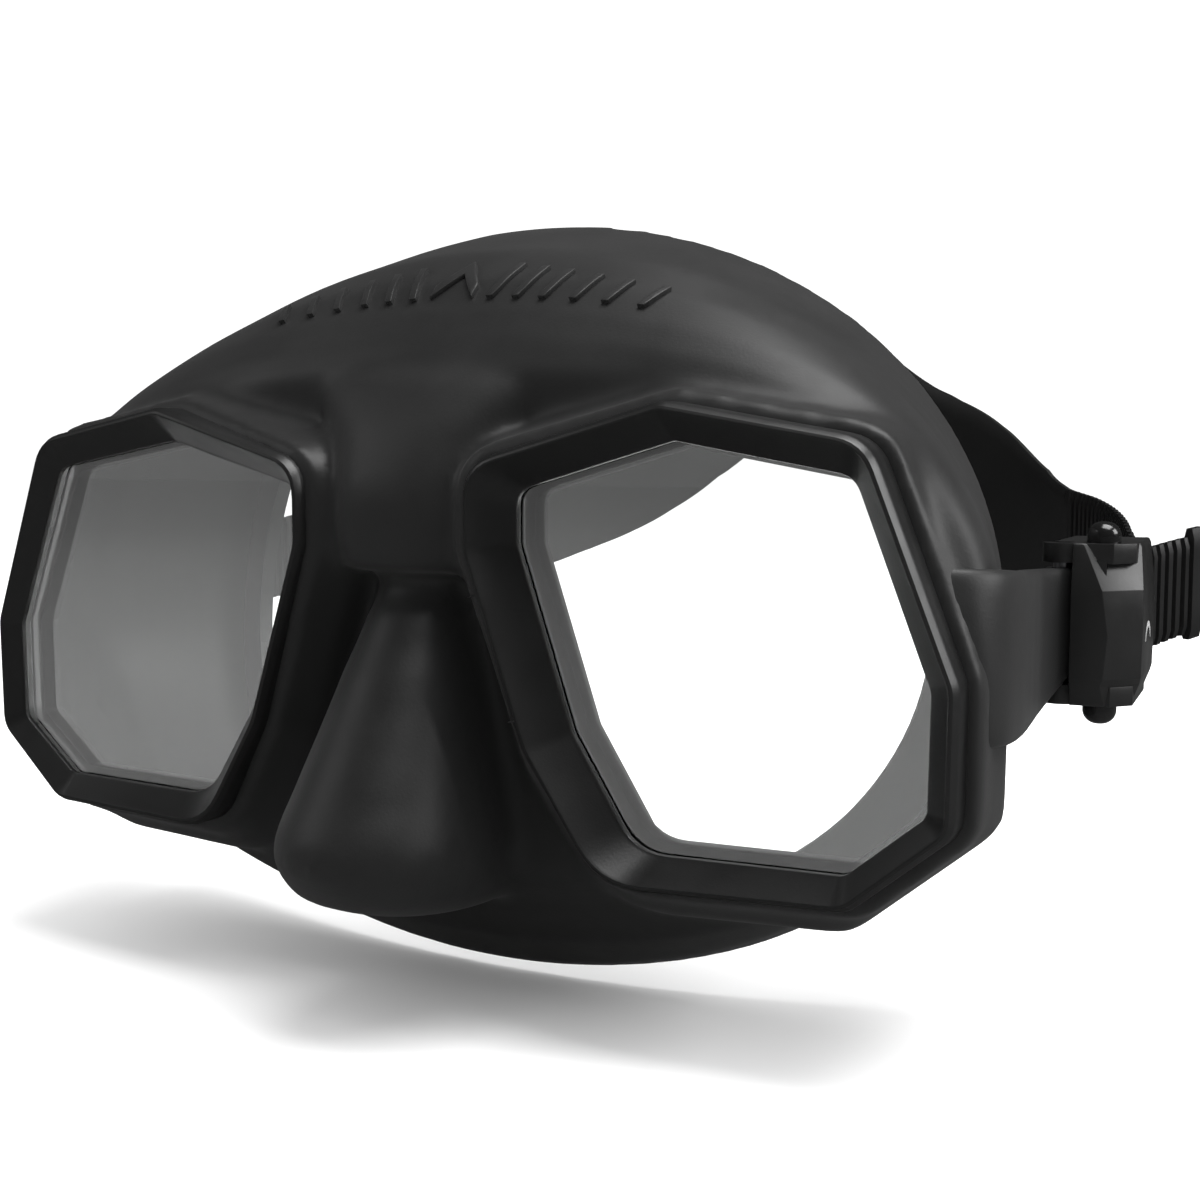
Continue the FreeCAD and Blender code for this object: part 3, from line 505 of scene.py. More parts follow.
@dataclass(frozen=True)
class PaperFinish:
    """Matt pale paper that rough surfaces see as dim."""

    name: str = "seamless_paper"
    tone: str = "#f8f8f8"
    flecks: str = "#f2f2f2"
    dim: str = "#4a4a4a"
    fleck_mm: float = 60.0

    def material(self) -> bpy.types.Material:
        """Build the paper with faint flecks."""
        made, place = start_material(self.name)
        tree = made.node_tree
        fleck = add_node(tree, "ShaderNodeTexNoise", Vector=place, Scale=1 / (self.fleck_mm * MM))
        tone = mix(tree, fleck.outputs["Fac"], linear(self.tone), linear(self.flecks))
        seen = mix(tree, rough_reflection(tree), tone, linear(self.dim))
        shader = add_node(tree, "ShaderNodeBsdfDiffuse", Color=seen)
        add_node(tree, "ShaderNodeOutputMaterial", Surface=shader.outputs["BSDF"])
        return made


class Paintbox:
    """Makes each material once and dresses pieces with it."""

    def __init__(self) -> None:
        """Start with no material made."""
        self._made: dict[str, bpy.types.Material] = {}

    def dress(self, obj: Piece, finish: Finish | GlassFinish | PaperFinish) -> None:
        """Give all of a piece one finish."""
        if finish.name not in self._made:
            self._made[finish.name] = finish.material()
        obj.data.materials.clear()
        obj.data.materials.append(self._made[finish.name])
        for face in obj.data.polygons:
            face.material_index = 0


# ---------------------------------------------------------------- windows

@dataclass(frozen=True)
class WindowShape:
    """The nine-sided glass opening on the wearer's left and what is drawn around it.

    Corners run anticlockwise seen from the front, from the upper corner at the nose. Each has the
    radius of the opening's corner, and each edge after it the width of the bezel's bevel there.
    """

    corners: tuple[Point2, ...] = (
        (15.5, 17.0), (15.5, 11.0), (22.5, -9.5), (30.5, -22.0), (54.5, -21.5),
        (63.0, -14.5), (63.2, -2.0), (55.0, 19.0), (35.0, 22.5),
    )
    radii: tuple[float, ...] = (2.6, 3.0, 5.0, 6.5, 2.0, 1.8, 3.0, 3.0, 1.6)
    bevels: tuple[float, ...] = (3.5, 3.5, 3.5, 2.7, 2.4, 2.4, 2.4, 3.3, 3.3)
    corner_steps: int = 7
    # Growth of a corner's radius per millimetre outwards, and the share of an edge it may take.
    corner_growth: float = 0.62
    corner_share: float = 0.46
    # The bezel's ridge as (x, depth) at the nose and at the temple.
    ridge: tuple[Point2, Point2] = ((11.7, -5.8), (66.0, -2.2))
    # Front edge of the silicone collar as (x, depth).
    collar: tuple[Point2, ...] = (
        (8.0, -4.4), (16.0, -3.2), (28.0, -0.4), (42.0, 1.4), (70.0, 2.0),
    )

    def outline(self, bevel_share: float, beyond: float) -> list[Point2]:
        """The rounded outline at a share of the bevel's width plus an even distance beyond.

        Args:
            bevel_share: 0 at the glass opening and 1 at the bezel's ridge.
            beyond: Millimetres further outwards.

        Returns:
            Points as (x, z), the same number for any arguments.
        """
        count = len(self.corners)
        lines = []
        for i, (x0, z0) in enumerate(self.corners):
            x1, z1 = self.corners[(i + 1) % count]
            length = math.hypot(x1 - x0, z1 - z0)
            normal = ((z1 - z0) / length, -(x1 - x0) / length)
            shift = self.bevels[i] * bevel_share + beyond
            lines.append((normal, normal[0] * x0 + normal[1] * z0 + shift))
        sharp = []
        for i in range(count):
            (ax, az), a = lines[i - 1]
            (bx, bz), b = lines[i]
            det = ax * bz - az * bx
            sharp.append(Vector(((a * bz - b * az) / det, (ax * b - bx * a) / det)))
        points = []
        for i, corner in enumerate(sharp):
            before, after = sharp[i - 1] - corner, sharp[(i + 1) % count] - corner
            turn = math.pi - before.angle(after)
            radius = self.radii[i] + self.corner_growth * (self.bevels[i] * bevel_share + beyond)
            tangent = min(radius * math.tan(turn / 2), self.corner_share * before.length,
                          self.corner_share * after.length)
            start = corner + before.normalized() * tangent
            end = corner + after.normalized() * tangent
            for k in range(self.corner_steps):
                f = k / (self.corner_steps - 1)
                points.append(tuple(start * (1 - f) ** 2 + corner * 2 * f * (1 - f) + end * f**2))
        return points

    def ridge_y(self, x: float) -> float:
        """Depth of the bezel's ridge at x: it stands further forward at the nose."""
        nose, temple = self.ridge
        share = (x - nose[0]) / (temple[0] - nose[0])
        return nose[1] + share * (temple[1] - nose[1])

    def collar_y(self, x: float) -> float:
        """Depth of the silicone collar's front edge at x."""
        return along(self.collar, x)[0]

    def ring(self, bevel_share: float, beyond: float, depth: float,
             follow: Callable[[float], float] | None = None) -> list[Vector]:
        """An outline as points in the row frame, at a depth that may follow a function of x."""
        return [glass(x, depth + (follow(x) if follow else 0.0), z)
                for x, z in self.outline(bevel_share, beyond)]


@dataclass
class Window:
    """One window: its bezel and its glass, modelled on the left and mirrored."""

    side: Side
    paint: Paintbox
    shape: WindowShape = field(default_factory=WindowShape)
    wall: float = 0.8
    ridge_flat: float = 0.3
    glass_thickness: float = 4.0
    seat: float = 1.2
    # Free space between the glass and its seat, at its edge and behind it, and its ground edge.
    edge_gap: float = 0.08
    back_gap: float = 0.06
    ground: float = 0.2

    def bezel(self) -> Piece:
        """The rim: outer wall, chamfer, ridge, wide bevel down to the glass, lip and seat."""
        ridge = self.shape.ridge_y
        back = self.glass_thickness
        # Each level: share of the bevel's width, distance beyond it, depth, and what that follows.
        levels = [
            (1, self.wall, back),
            (1, self.wall, 0.5 * back, lambda x: 0.5 * ridge(x)),
            (1, self.wall, 1.15, ridge),
            (1, self.wall - 0.12, 0.75, ridge),
            (1, self.ridge_flat, 0.14, ridge),
            (1, self.ridge_flat - 0.25, 0, ridge),
            (1, -0.1, 0.02, ridge),
            (1, -0.3, 0.22, ridge),
            (0.12, 0, -0.95),
            (0.02, 0, -0.7),
            (0, 0, -0.55),
            (0, 0, -0.1),
            (0, 0.12, -0.03),
            (0, self.seat, -0.03),
            (0, self.seat + 0.02, back - 0.1),
            (0, self.seat + 0.1, back),
        ]
        rim = loft("bezel_rim", [self.shape.ring(*level) for level in levels], closed=True)
        smooth(rim, 24)
        return rim

    def pane(self) -> Piece:
        """Flat glass with ground edges."""
        inset, ground = self.seat - self.edge_gap, self.ground
        back = self.glass_thickness - self.back_gap
        levels = [
            (0, inset - ground, 0.0),
            (0, inset, ground),
            (0, inset, back - ground),
            (0, inset - ground, back),
        ]
        return loft("window_glass", [self.shape.ring(*level) for level in levels])

    def build(self) -> None:
        """Make both pieces, mirror them if need be, and hang them on the frame."""
        for piece, node, finish, slot in (
            (self.bezel(), "bezel", RIM_NYLON, "bezel_plastic"),
            (self.pane(), "lens", GlassFinish(), "tempered_glass"),
        ):
            name = f"{piece.name}_{self.side.word}"
            if self.side is Side.RIGHT:
                mirror(piece)
            piece.name = name
            self.paint.dress(piece, finish)
            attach(piece, "mask")
            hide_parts(f"{node}_{self.side.word}")
            LOG.info("%s: %d faces", name, len(piece.data.polygons))


# ---------------------------------------------------------------- skirt

@dataclass
class Skirt:
    """Silicone skirt with its nose pocket, window collars, seal lip, strap ears and brow marks."""

    paint: Paintbox
    shape: WindowShape = field(default_factory=WindowShape)
    # depth: half width, top, bottom, roundness above and below
    dome: tuple[tuple[float, ...], ...] = (
        (3.6, 65.6, 31.0, 28.0, 2.45, 2.3),
        (5.2, 67.4, 34.0, 30.0, 2.45, 2.25),
        (8.0, 67.8, 37.6, 33.5, 2.4, 2.2),
        (12.0, 67.0, 41.6, 38.4, 2.25, 2.1),
        (18.0, 65.0, 45.8, 43.3, 2.1, 2.0),
        (32.0, 60.9, 50.3, 47.6, 2.0, 2.0),
        (46.0, 57.6, 51.0, 48.6, 2.0, 2.0),
        (70.0, 52.5, 50.4, 48.0, 2.0, 2.0),
    )
    # height: front depth, half width, roundness
    bridge: tuple[tuple[float, ...], ...] = (
        (7.6, -3.6, 9.9, 3.2), (9.4, -4.7, 10.2, 3.2), (13.8, -5.6, 9.8, 3.0),
        (18.5, -4.9, 11.0, 2.8), (24.0, -2.6, 15.5, 2.5), (29.0, 0.8, 21.0, 2.3),
        (33.0, 5.0, 25.0, 2.2),
    )
    nose: tuple[tuple[float, ...], ...] = (
        (-31.6, -4.0, 8.0, 2.2), (-31.0, -9.5, 10.0, 2.2), (-29.0, -14.5, 11.6, 2.2),
        (-26.0, -17.4, 12.2, 2.15), (-23.0, -18.4, 12.2, 2.1), (-17.0, -15.2, 10.9, 2.1),
        (-10.0, -11.0, 9.4, 2.1), (-4.0, -7.4, 8.2, 2.1), (1.6, -4.0, 7.0, 2.1),
        (3.0, -3.0, 6.7, 2.1), (4.4, -1.2, 6.6, 2.2), (8.5, 0.4, 7.0, 2.4),
    )
    wall: float = 2.0
    voxel: float = 0.8
    face_radius: float = 118.0
    face_front: float = 33.0
    face_tilt: float = math.radians(6.5)
    face_length: float = 260.0
    face_drop: float = 50.0
    brow_height: float = 50.5
    # Silicone beyond the bezel's ridge: the bezel's wall and the collar's own.
    collar: float = 0.8 + 1.3
    # How far each edge of the collar spreads into the dome, in the order of the window's edges.
    spread: tuple[float, ...] = (3.0, 3.2, 3.4, 3.6, 0.5, 0.0, 0.0, 0.5, 1.2)
    # Depth of the flange's front, just behind the bezel.
    flange_front: float = 4.02
    # Depths between which the shell is cut open for each window.
    window_cut: tuple[float, float] = (-20.0, 4.6)
    # x, height, lean and thickness of the marks on the brow, and how much each next bar shrinks.
    mark_places: tuple[float, ...] = (5.0, 8.6, 12.2, 16.4, 20.6, 25.2)
    mark_size: tuple[float, float, float] = (4.2, 1.7, 0.95)
    mark_shrink: float = 0.35
    mark_height: float = 39.3

    def dome_section(self, y: float, inset: float = 0.0) -> list[Vector]:
        """One upright section of the dome."""
        half, top, bottom, power_up, power_down = along(self.dome, y)
        points = []
        for c, s in around(128):
            power = power_up if s >= 0 else power_down
            height = (top if s >= 0 else bottom) - inset
            points.append(glass(signed_power(c, 2 / power) * (half - inset), y,
                                signed_power(s, 2 / power) * height))
        return points

    def dome_volume(self) -> Piece:
        """The skirt's main form as a closed solid."""
        depths = [3.6, 4.4, 5.2, 6.4, 8.0, 10, 12, 15, 18, 22, 27, 32, 39, 46, 54, 62, 70]
        return loft("dome", [self.dome_section(y) for y in depths])

    def upright_volume(self, name: str, table: Sequence[Sequence[float]], back: float,
                       rows: int) -> Piece:
        """A solid with a rounded front at every height, flat at the back.

        Args:
            name: Name of the solid.
            table: Rows of height, front depth, half width and roundness, in rising order.
            back: Depth of the flat back.
            rows: How many sections it has.
        """
        low, high = table[0][0], table[-1][0]
        sections = []
        for i in range(rows + 1):
            z = low + (high - low) * i / rows
            front, half, power = along(table, z)
            round_depth = min(back - front - 0.5, 1.25 * half)
            outline = []
            for k in range(49):
                c, s = math.cos(math.pi * k / 48), math.sin(math.pi * k / 48)
                outline.append(glass(signed_power(c, 2 / power) * half,
                                     front + round_depth * (1 - abs(s) ** (2 / power)), z))
            sections.append(outline + [glass(-half, back, z), glass(half, back, z)])
        return loft(name, sections)

    def pod_volume(self) -> Piece:
        """Silicone around the left window: a collar that spreads into the dome behind it."""
        shape, collar = self.shape, self.collar

        def spread(extra: float) -> WindowShape:
            bevels = tuple(b + extra * w for b, w in zip(shape.bevels, self.spread))
            return WindowShape(shape.corners, shape.radii, bevels, shape.corner_steps)

        levels = [
            spread(0.0).ring(1, collar - 0.6, -0.5, shape.collar_y),
            spread(0.0).ring(1, collar + 0.1, -0.3, shape.collar_y),
            spread(0.05).ring(1, collar + 0.2, 0.5, shape.collar_y),
            spread(0.35).ring(1, collar, 2.4, shape.collar_y),
            spread(1.0).ring(1, collar, 5.2, shape.collar_y),
            spread(1.3).ring(1, collar, 12.0),
            spread(0.2).ring(1, collar - 3.0, 16.0),
        ]
        return loft("pod", levels)

    def face_tool(self) -> Piece:
        """The wearer's face, as a cylinder."""
        axis = Vector((0, math.sin(self.face_tilt), math.cos(self.face_tilt)))
        brow = glass(0, self.face_front + self.face_radius, self.brow_height)
        pick_nothing()
        bpy.ops.mesh.primitive_cylinder_add(vertices=480, radius=self.face_radius * MM,
                                            depth=self.face_length * MM)
        tool = bpy.context.object
        turn = Matrix.Rotation(-self.face_tilt, 4, "X")
        tool.data.transform(Matrix.Translation(brow - axis * (self.face_drop * MM)) @ turn)
        return tool

    def shell(self) -> Piece:
        """The hollow form: solids merged, softened, opened to the face and the windows."""
        left_pod = self.pod_volume()
        body = join("skirt_shell", [
            self.dome_volume(),
            self.upright_volume("bridge", self.bridge, 14.0, 32),
            self.upright_volume("nose", self.nose, 12.0, 60),
            left_pod,
            mirror_copy(left_pod, "pod_mirror"),
        ])
        modify(body, "REMESH", mode="VOXEL", voxel_size=self.voxel * MM, adaptivity=0.0)
        carve(body, self.face_tool())
        modify(body, "REMESH", mode="VOXEL", voxel_size=self.voxel * MM, adaptivity=0.0)
        modify(body, "SMOOTH", factor=0.5, iterations=9)
        depths = (17.0, 24, 32, 46, 60, 70)
        opening = loft("opening", [self.dome_section(y, 8.5) for y in depths])
        mark(body, 0)
        mark(opening, 1)
        carve(body, opening)
        for side in Side:
            hole = loft("hole", [self.shape.ring(1, 0.5, y) for y in self.window_cut])
            if side is Side.RIGHT:
                mirror(hole)
            mark(hole, 1)
            carve(body, hole)
        delete_cut_faces(body)
        modify(body, "SOLIDIFY", thickness=self.wall * MM, offset=-1, use_rim=True,
               use_even_offset=False)
        return body

    def flange(self) -> Piece:
        """Collar against the left bezel's wall and the flange behind its glass."""
        shape, back = self.shape, self.flange_front
        levels = [
            (1, 0.81, 0.1, shape.collar_y),
            (1, 0.95, 0, shape.collar_y),
            (1, 1.3, 0.02, shape.collar_y),
            (1, 1.5, 0.25, shape.collar_y),
            (1, 1.5, 6.2),
            (0, -0.45, 6.2),
            (0, -0.65, 6.0),
            (0, -0.65, back + 0.2),
            (0, -0.5, back),
            (1, 0.82, back),
        ]
        ring = loft("flange", [shape.ring(*level) for level in levels], closed=True)
        smooth(ring, 40)
        return ring

    def ear(self) -> Piece:
        """Left strap ear: an arm that leaves the skirt's side and an eye around the ear pin."""
        # outer face's x and y, lower and upper edge, thickness, and lean of its top to the window
        route = [
            (66.3, 2.4, -7.4, 10.0, 2.2, 3.0), (67.7, 4.0, -8.0, 9.9, 3.0, 2.0),
            (68.7, 7.0, -8.3, 9.7, 3.0, 0.8), (68.9, 11.0, -8.4, 9.4, 3.0, 0.2),
            (68.6, 15.5, -8.3, 9.0, 2.9, 0.0), (68.2, 19.5, -8.0, 8.8, 2.8, 0.0),
            (68.0, 23.0, -7.4, 8.6, 2.6, 0.0), (68.6, 26.2, -5.8, 8.5, 2.4, 0.0),
            (69.6, 28.2, -4.0, 8.5, 2.2, 0.0),
        ]
        sections = []
        steps, last = 32, len(route) - 1
        for i in range(steps + 1):
            x, y, low, high, thick, lean = spline(route, last * i / steps)
            ahead = spline(route, min(last * (i + 0.5) / steps, len(route) - 1.001))
            behind = spline(route, last * max(i - 0.5, 0) / steps)
            direction = Vector((ahead[0] - behind[0], ahead[1] - behind[1])).normalized()
            inwards = Vector((-direction.y, direction.x))
            middle = (low + high) / 2
            outline = []
            for c, s in around(48):
                across = (1 - signed_power(c, 0.45)) / 2 * thick
                z = middle + signed_power(s, 0.2) * (high - low) / 2
                shift = lean * max(z / 10, 0.0) ** 1.5
                outline.append(glass(x + inwards.x * across - shift, y + inwards.y * across, z))
            sections.append(outline)
        arm = loft("ear_arm", sections)
        buckle = BuckleFrame(Side.LEFT)

        def eye_place(u: float, v: float) -> Vector:
            angle, turn = TAU * u, TAU * v
            radius = 1.6 + signed_power(math.cos(turn), 0.4) * 0.45
            height = signed_power(math.sin(turn), 0.2) * 6.15
            return buckle.at(radius * math.cos(angle), radius * math.sin(angle), height)

        eye = grid("ear_eye", 40, 24, eye_place, wrap=True, closed=True)
        ear = join("strap_ear", [arm, eye])
        smooth(ear, 50)
        return ear

    def brow_marks(self, shell: Piece) -> Piece:
        """Raised slanted bars on the brow, mirrored about a small chevron."""
        bars = []
        height, lean, thick = self.mark_size
        for number, x in enumerate(self.mark_places):
            length = height - self.mark_shrink * number
            outline = [(x, 0.0), (x + thick, 0.0), (x + thick + lean, length), (x + lean, length)]
            bars.append(outline)
            bars.append([(-a, b) for a, b in reversed(outline)])
        bars.append([(-3.0, 0.0), (0.0, 2.9), (3.0, 0.0), (3.0, 1.6), (0.0, 4.6), (-3.0, 1.6)])
        pieces = []
        for outline in bars:
            bar = flat_shape([glass(x, -6.0, self.mark_height + rise - 0.003 * x * x)
                              for x, rise in outline])
            edit_all(bar, bpy.ops.mesh.quads_convert_to_tris,
                     lambda: bpy.ops.mesh.subdivide(number_cuts=3))
            pieces.append(bar)
        marks = join("brow_marks", pieces)
        for vertex in marks.data.vertices:
            hit, place, _, _ = shell.ray_cast(Vector(vertex.co), Vector((0, 1, 0)))
            if hit:
                vertex.co = place - Vector((0, 0.15 * MM, 0))
        edit_all(marks, face_outwards)
        if sum(face.normal.y for face in marks.data.polygons) > 0:
            edit_all(marks, bpy.ops.mesh.flip_normals)
        modify(marks, "SOLIDIFY", thickness=1.0 * MM, offset=0.0, use_rim=True)
        chamfer(marks, 0.12, 2, 50)
        smooth(marks, 40)
        return marks

    def build(self) -> None:
        """Make the skirt as one moulding and hang it on the frame."""
        shell = self.shell()
        marks = self.brow_marks(shell)
        smooth(shell, 60)
        ear, flange = self.ear(), self.flange()
        parts = [shell, marks, ear, mirror_copy(ear, "ear_mirror"), flange,
                 mirror_copy(flange, "flange_mirror")]
        skirt = join("silicone_skirt", parts)
        self.paint.dress(skirt, SKIRT_SILICONE)
        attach(skirt, "mask")
        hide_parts("skirt", "nose_pocket", "strap_ear_left", "strap_ear_right")
        LOG.info("silicone_skirt: %d faces", len(skirt.data.polygons))


# ---------------------------------------------------------------- buckle

@dataclass
class Buckle:
    """Swivelling buckle: side plates with a clip for the ear pin, and a faceted cover."""

    side: Side
    paint: Paintbox
    plate_low: float = 6.8
    plate_high: float = 9.0
    front: float = -3.5
    plate_outer: float = 7.8
    rear: float = 13.0

    @property
    def place(self) -> BuckleFrame:
        """This buckle's frame."""
        return BuckleFrame(self.side)

    def outline_solid(self, name: str, outline: Sequence[Point2], low: float,
                      high: float) -> Piece:
        """Extrude a flat outline upwards from one level to another."""
        solid = flat_shape([self.place.at(x, y, low) for x, y in outline])
        solid.name = name
        rise = {"value": (0, 0, (high - low) * MM)}
        edit_all(solid, lambda: bpy.ops.mesh.extrude_region_move(TRANSFORM_OT_translate=rise),
                 face_outwards)
        return solid

    def drill(self, solid: Piece, x: float, y: float, radius: float) -> None:
        """Drill an upright hole."""
        ring = arc(x, y, radius, [TAU * k / 32 for k in range(32)])
        carve(solid, self.outline_solid("drill", ring, -20, 20))

    def plate(self, low: float, high: float) -> Piece:
        """One side plate: strap deck, hooked clip for the ear pin, and a hole for the button."""
        hook, bore = 2.3, 1.16
        button = (4.2, 0.6, 1.98)
        # The clip's mouth opens inwards and to the rear, between 125 and 190 degrees.
        inner = [math.radians(125 - 295 * k / 24) for k in range(25)]
        outer = [math.radians(190 + 110 * k / 9) for k in range(10)]
        outline = [(5.6, -2.4), (self.plate_outer, -0.2), (self.plate_outer, self.rear),
                   (-0.4, self.rear), (-1.0, 4.5), (-0.9, 2.6)]
        outline += arc(0, 0, hook, inner[:1]) + arc(0, 0, bore, inner) + arc(0, 0, hook, outer)
        solid = self.outline_solid("side_plate", outline, low, high)
        self.drill(solid, *button)
        return solid

    def cover(self) -> Piece:
        """Faceted shell over the front and outer side, open inwards and to the rear."""
        half = self.plate_high
        # level: front depth, start and end of the corner bevel across and back
        levels = [
            (-half, -2.3, 5.0, 7.2, 1.2), (-half + 0.25, -2.5, 5.0, 7.6, 1.2),
            (-6.6, -3.3, 4.6, 8.4, 0.6), (-5.9, self.front, 4.9, 8.6, -0.2),
            (-1.0, self.front, 5.3, 8.7, -0.6), (3.9, self.front, 4.6, 8.6, 0.2),
            (8.5, -2.55, 2.6, 8.1, 2.2), (half - 0.1, -2.42, 2.4, 7.9, 2.3),
            (half, -2.3, 2.4, 7.7, 2.4),
        ]
        sections = []
        for z, front, start, outer, end in levels:
            wall = 0.9 if abs(z) < self.plate_low else 0.35
            outside = [(1.3, front), (start, front), (outer, end), (outer, self.rear)]
            inside = [
                (outer - wall, self.rear), (outer - wall, end + 0.4), (start - 0.3, front + wall),
                (1.3, front + wall),
            ]
            sections.append([self.place.at(x, y, z) for x, y in outside + inside])
        shell = loft("buckle_cover", sections)
        chamfer(shell, 0.22, 3, 12)
        smooth(shell, 25)
        return shell

    def inlay(self) -> Piece:
        """Generic printed crescent on the outer face."""

        def place(u: float, v: float) -> Vector:
            angle = math.radians(25 + 130 * u)
            width = 0.28 * math.sin(math.pi * min(max(u, 0.02), 0.98)) + 0.05
            radius = 3.0 + (v - 0.5) * 2 * width
            return self.place.at(8.66, 5.6 - radius * math.cos(angle),
                                 -3.4 + radius * math.sin(angle))

        inlay = grid("inlay", 24, 2, place)
        modify(inlay, "SOLIDIFY", thickness=0.16 * MM, offset=0)
        return inlay

    def build(self) -> None:
        """Make the plates and the cover, dress the CAD pieces, and hang all on the frame."""
        word, body = self.side.word, f"buckle_{self.side.word}"
        bar_outline = [(2.4, -2.35), (4.9, -2.35), (4.9, -1.7), (2.4, -1.7)]
        bar_end = self.plate_low + 0.4
        bar = self.outline_solid("front_bar", bar_outline, -bar_end, bar_end)
        base = join(f"buckle_frame_{word}", [
            self.plate(self.plate_low, self.plate_high - 0.02),
            self.plate(-self.plate_high + 0.02, -self.plate_low),
            bar,
        ])
        chamfer(base, 0.15, 2, 40)
        smooth(base, 30)
        cover, inlay = self.cover(), self.inlay()
        self.paint.dress(base, BUCKLE_ACETAL)
        self.paint.dress(cover, BUCKLE_ACETAL)
        self.paint.dress(inlay, INLAY_INK)
        cover.name, inlay.name = f"buckle_shell_{word}", f"buckle_inlay_{word}"
        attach(base, body)
        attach(cover, body)
        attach(inlay, body)
        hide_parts(f"buckle_base_{word}")
        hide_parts(f"buckle_cover_{word}")
        for piece in (base, cover, inlay):
            LOG.info("%s: %d faces", piece.name, len(piece.data.polygons))
        for node, finish in (
            ("roller", BUCKLE_ACETAL), ("strap_catch", BUCKLE_ACETAL), ("upper_button", BUTTON_ABS),
            ("lower_button", BUTTON_ABS), ("ear_pin", DRAWN_STEEL), ("roller_pin", DRAWN_STEEL),
            ("catch_pin", DRAWN_STEEL), ("button_spring", DRAWN_STEEL), ("clamp_ring", RIM_NYLON),
        ):
            self.paint.dress(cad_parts[f"{node}_{word}"], finish)


# ---------------------------------------------------------------- strap

@dataclass
class Strap:
    """Silicone strap: a split back panel and a ribbed end through each buckle."""

    paint: Paintbox
    centre_y: float = 50.0
    half_width: float = 70.0
    half_depth: float = 65.0
    middle_z: float = 2.3
    half_height: float = 6.3
    thickness: float = 1.3
    split: float = 40.0
    rib_pitch: float = 1.5
    rib_depth: float = 0.5
    loop_radius: float = 2.0
    roller: Point2 = (3.4, 6.3)
    exit_y: float = 13.0
    tail_length: float = 14.5
    tail_flare: float = 7.0
    # The tail rises towards its loose end, which has a plain raised lip.
    rise_length: float = 14.0
    lip_length: float = 2.0
    # Half width, middle height and half height of the panel's slot, and its sag per square mm.
    slot: tuple[float, float, float, float] = (18.5, 33.4, 2.6, 0.03)
    # degrees round the loop: upper and lower edge of the panel
    upper: tuple[Point2, ...] = (
        (0, 8.6), (8, 9.2), (20, 12.0), (31, 14.1), (40, 15.4), (45, 18.0), (55, 24.8), (63, 29.0),
        (68, 31.6), (74, 36.0), (81, 41.0), (90, 46.0),
    )
    lower: tuple[Point2, ...] = (
        (0, -4.0), (8, -3.6), (20, -1.6), (31, 0.6), (40, 1.8), (45, 1.4), (52, -0.1), (60, 3.0),
        (66, 6.0), (72, 10.0), (79, 16.0), (90, 25.0),
    )

    def loop(self, degrees: float) -> tuple[Vector, Vector]:
        """Place and outward direction on the strap's oval loop, in the row frame."""
        angle = math.radians(degrees)
        c, s = math.cos(angle), math.sin(angle)
        place = glass(self.half_width * c, self.centre_y + self.half_depth * s, 0)
        outward = Vector((self.half_depth * c, self.half_width * s, 0)).normalized()
        return place, outward

    def ribbon(self, name: str, path: Sequence[PathRow], columns: int = 10) -> Piece:
        """A band along a path.

        Args:
            name: Name of the piece.
            path: Rows of place, direction away from the plain face, lower and upper edge in
                millimetres, and how far each face stands from the path.
            columns: Points across the band on each face.
        """
        sections = []
        for place, outward, low, high, outside, inside in path:
            edge = min(0.35, (outside + inside) / 2 * 0.6)
            outline = []
            for face, sign in ((outside, 1), (-inside, -1)):
                for k in range(columns + 1):
                    f = k / columns if sign > 0 else 1 - k / columns
                    z = low + (high - low) * f
                    ease = edge if k in (0, columns) else 0.0
                    spot = place + outward * (face - sign * ease) * MM
                    outline.append(Vector((spot.x, spot.y, z * MM)))
            sections.append(outline)
        band = loft(name, sections)
        smooth(band, 35)
        return band

    def face_depths(self, length: float, ribbed: float) -> tuple[float, float]:
        """Distances of the ribbed and the plain face from the middle of the band.

        Args:
            length: Millimetres along the strap, which places the ribs.
            ribbed: 1 where the ribs are full and 0 where there are none.
        """
        phase = (length / self.rib_pitch) % 1.0
        groove = 1.0 if phase < 0.45 else 0.0
        return self.thickness / 2 - groove * ribbed * self.rib_depth, self.thickness / 2

    def run_path(self) -> list[PathRow]:
        """Left strap between the buckle's rear edge and the back panel."""
        buckle = BuckleFrame(Side.LEFT)
        inner_x = self.roller[0] - self.loop_radius
        knots = [buckle.at(inner_x, self.roller[1] - 0.2), buckle.at(inner_x, 9.5),
                 buckle.at(inner_x, self.exit_y)]
        knots += [self.loop(a)[0] for a in (10, 16, 22, 28, 34, self.split, 46)]
        angles = [-8.0, -4.0, 1.0, 10, 16, 22, 28, 34, self.split, 46]
        # The last knot only bends the path.
        steps, last = 330, len(knots) - 2
        times = [last * i / steps for i in range(steps + 1)]
        places = [Vector(spline(knots, t)) for t in times]
        rows = []
        for t, place, length in zip(times, places, path_lengths(places)):
            behind = Vector(spline(knots, max(t - PATH_STEP, 0)))
            step = Vector(spline(knots, t + PATH_STEP)) - behind
            inward = Vector((-step.y, step.x, 0)).normalized()
            degrees = spline([[a] for a in angles], t)[0]
            low, high = along(self.lower, degrees)[0], along(self.upper, degrees)[0]
            # The ribs fade out over the last degrees before the panel.
            fade = min(max(self.split - 1.0 - degrees, 0.0), 1.0)
            ribs, plain = self.face_depths(length, fade)
            rows.append((place, -inward, low, high, plain, ribs))
        return rows

    def tail_path(self) -> list[PathRow]:
        """Left strap from its loose end, through the buckle and round the roller."""
        buckle = BuckleFrame(Side.LEFT)
        x0, y0 = self.roller
        r = self.loop_radius
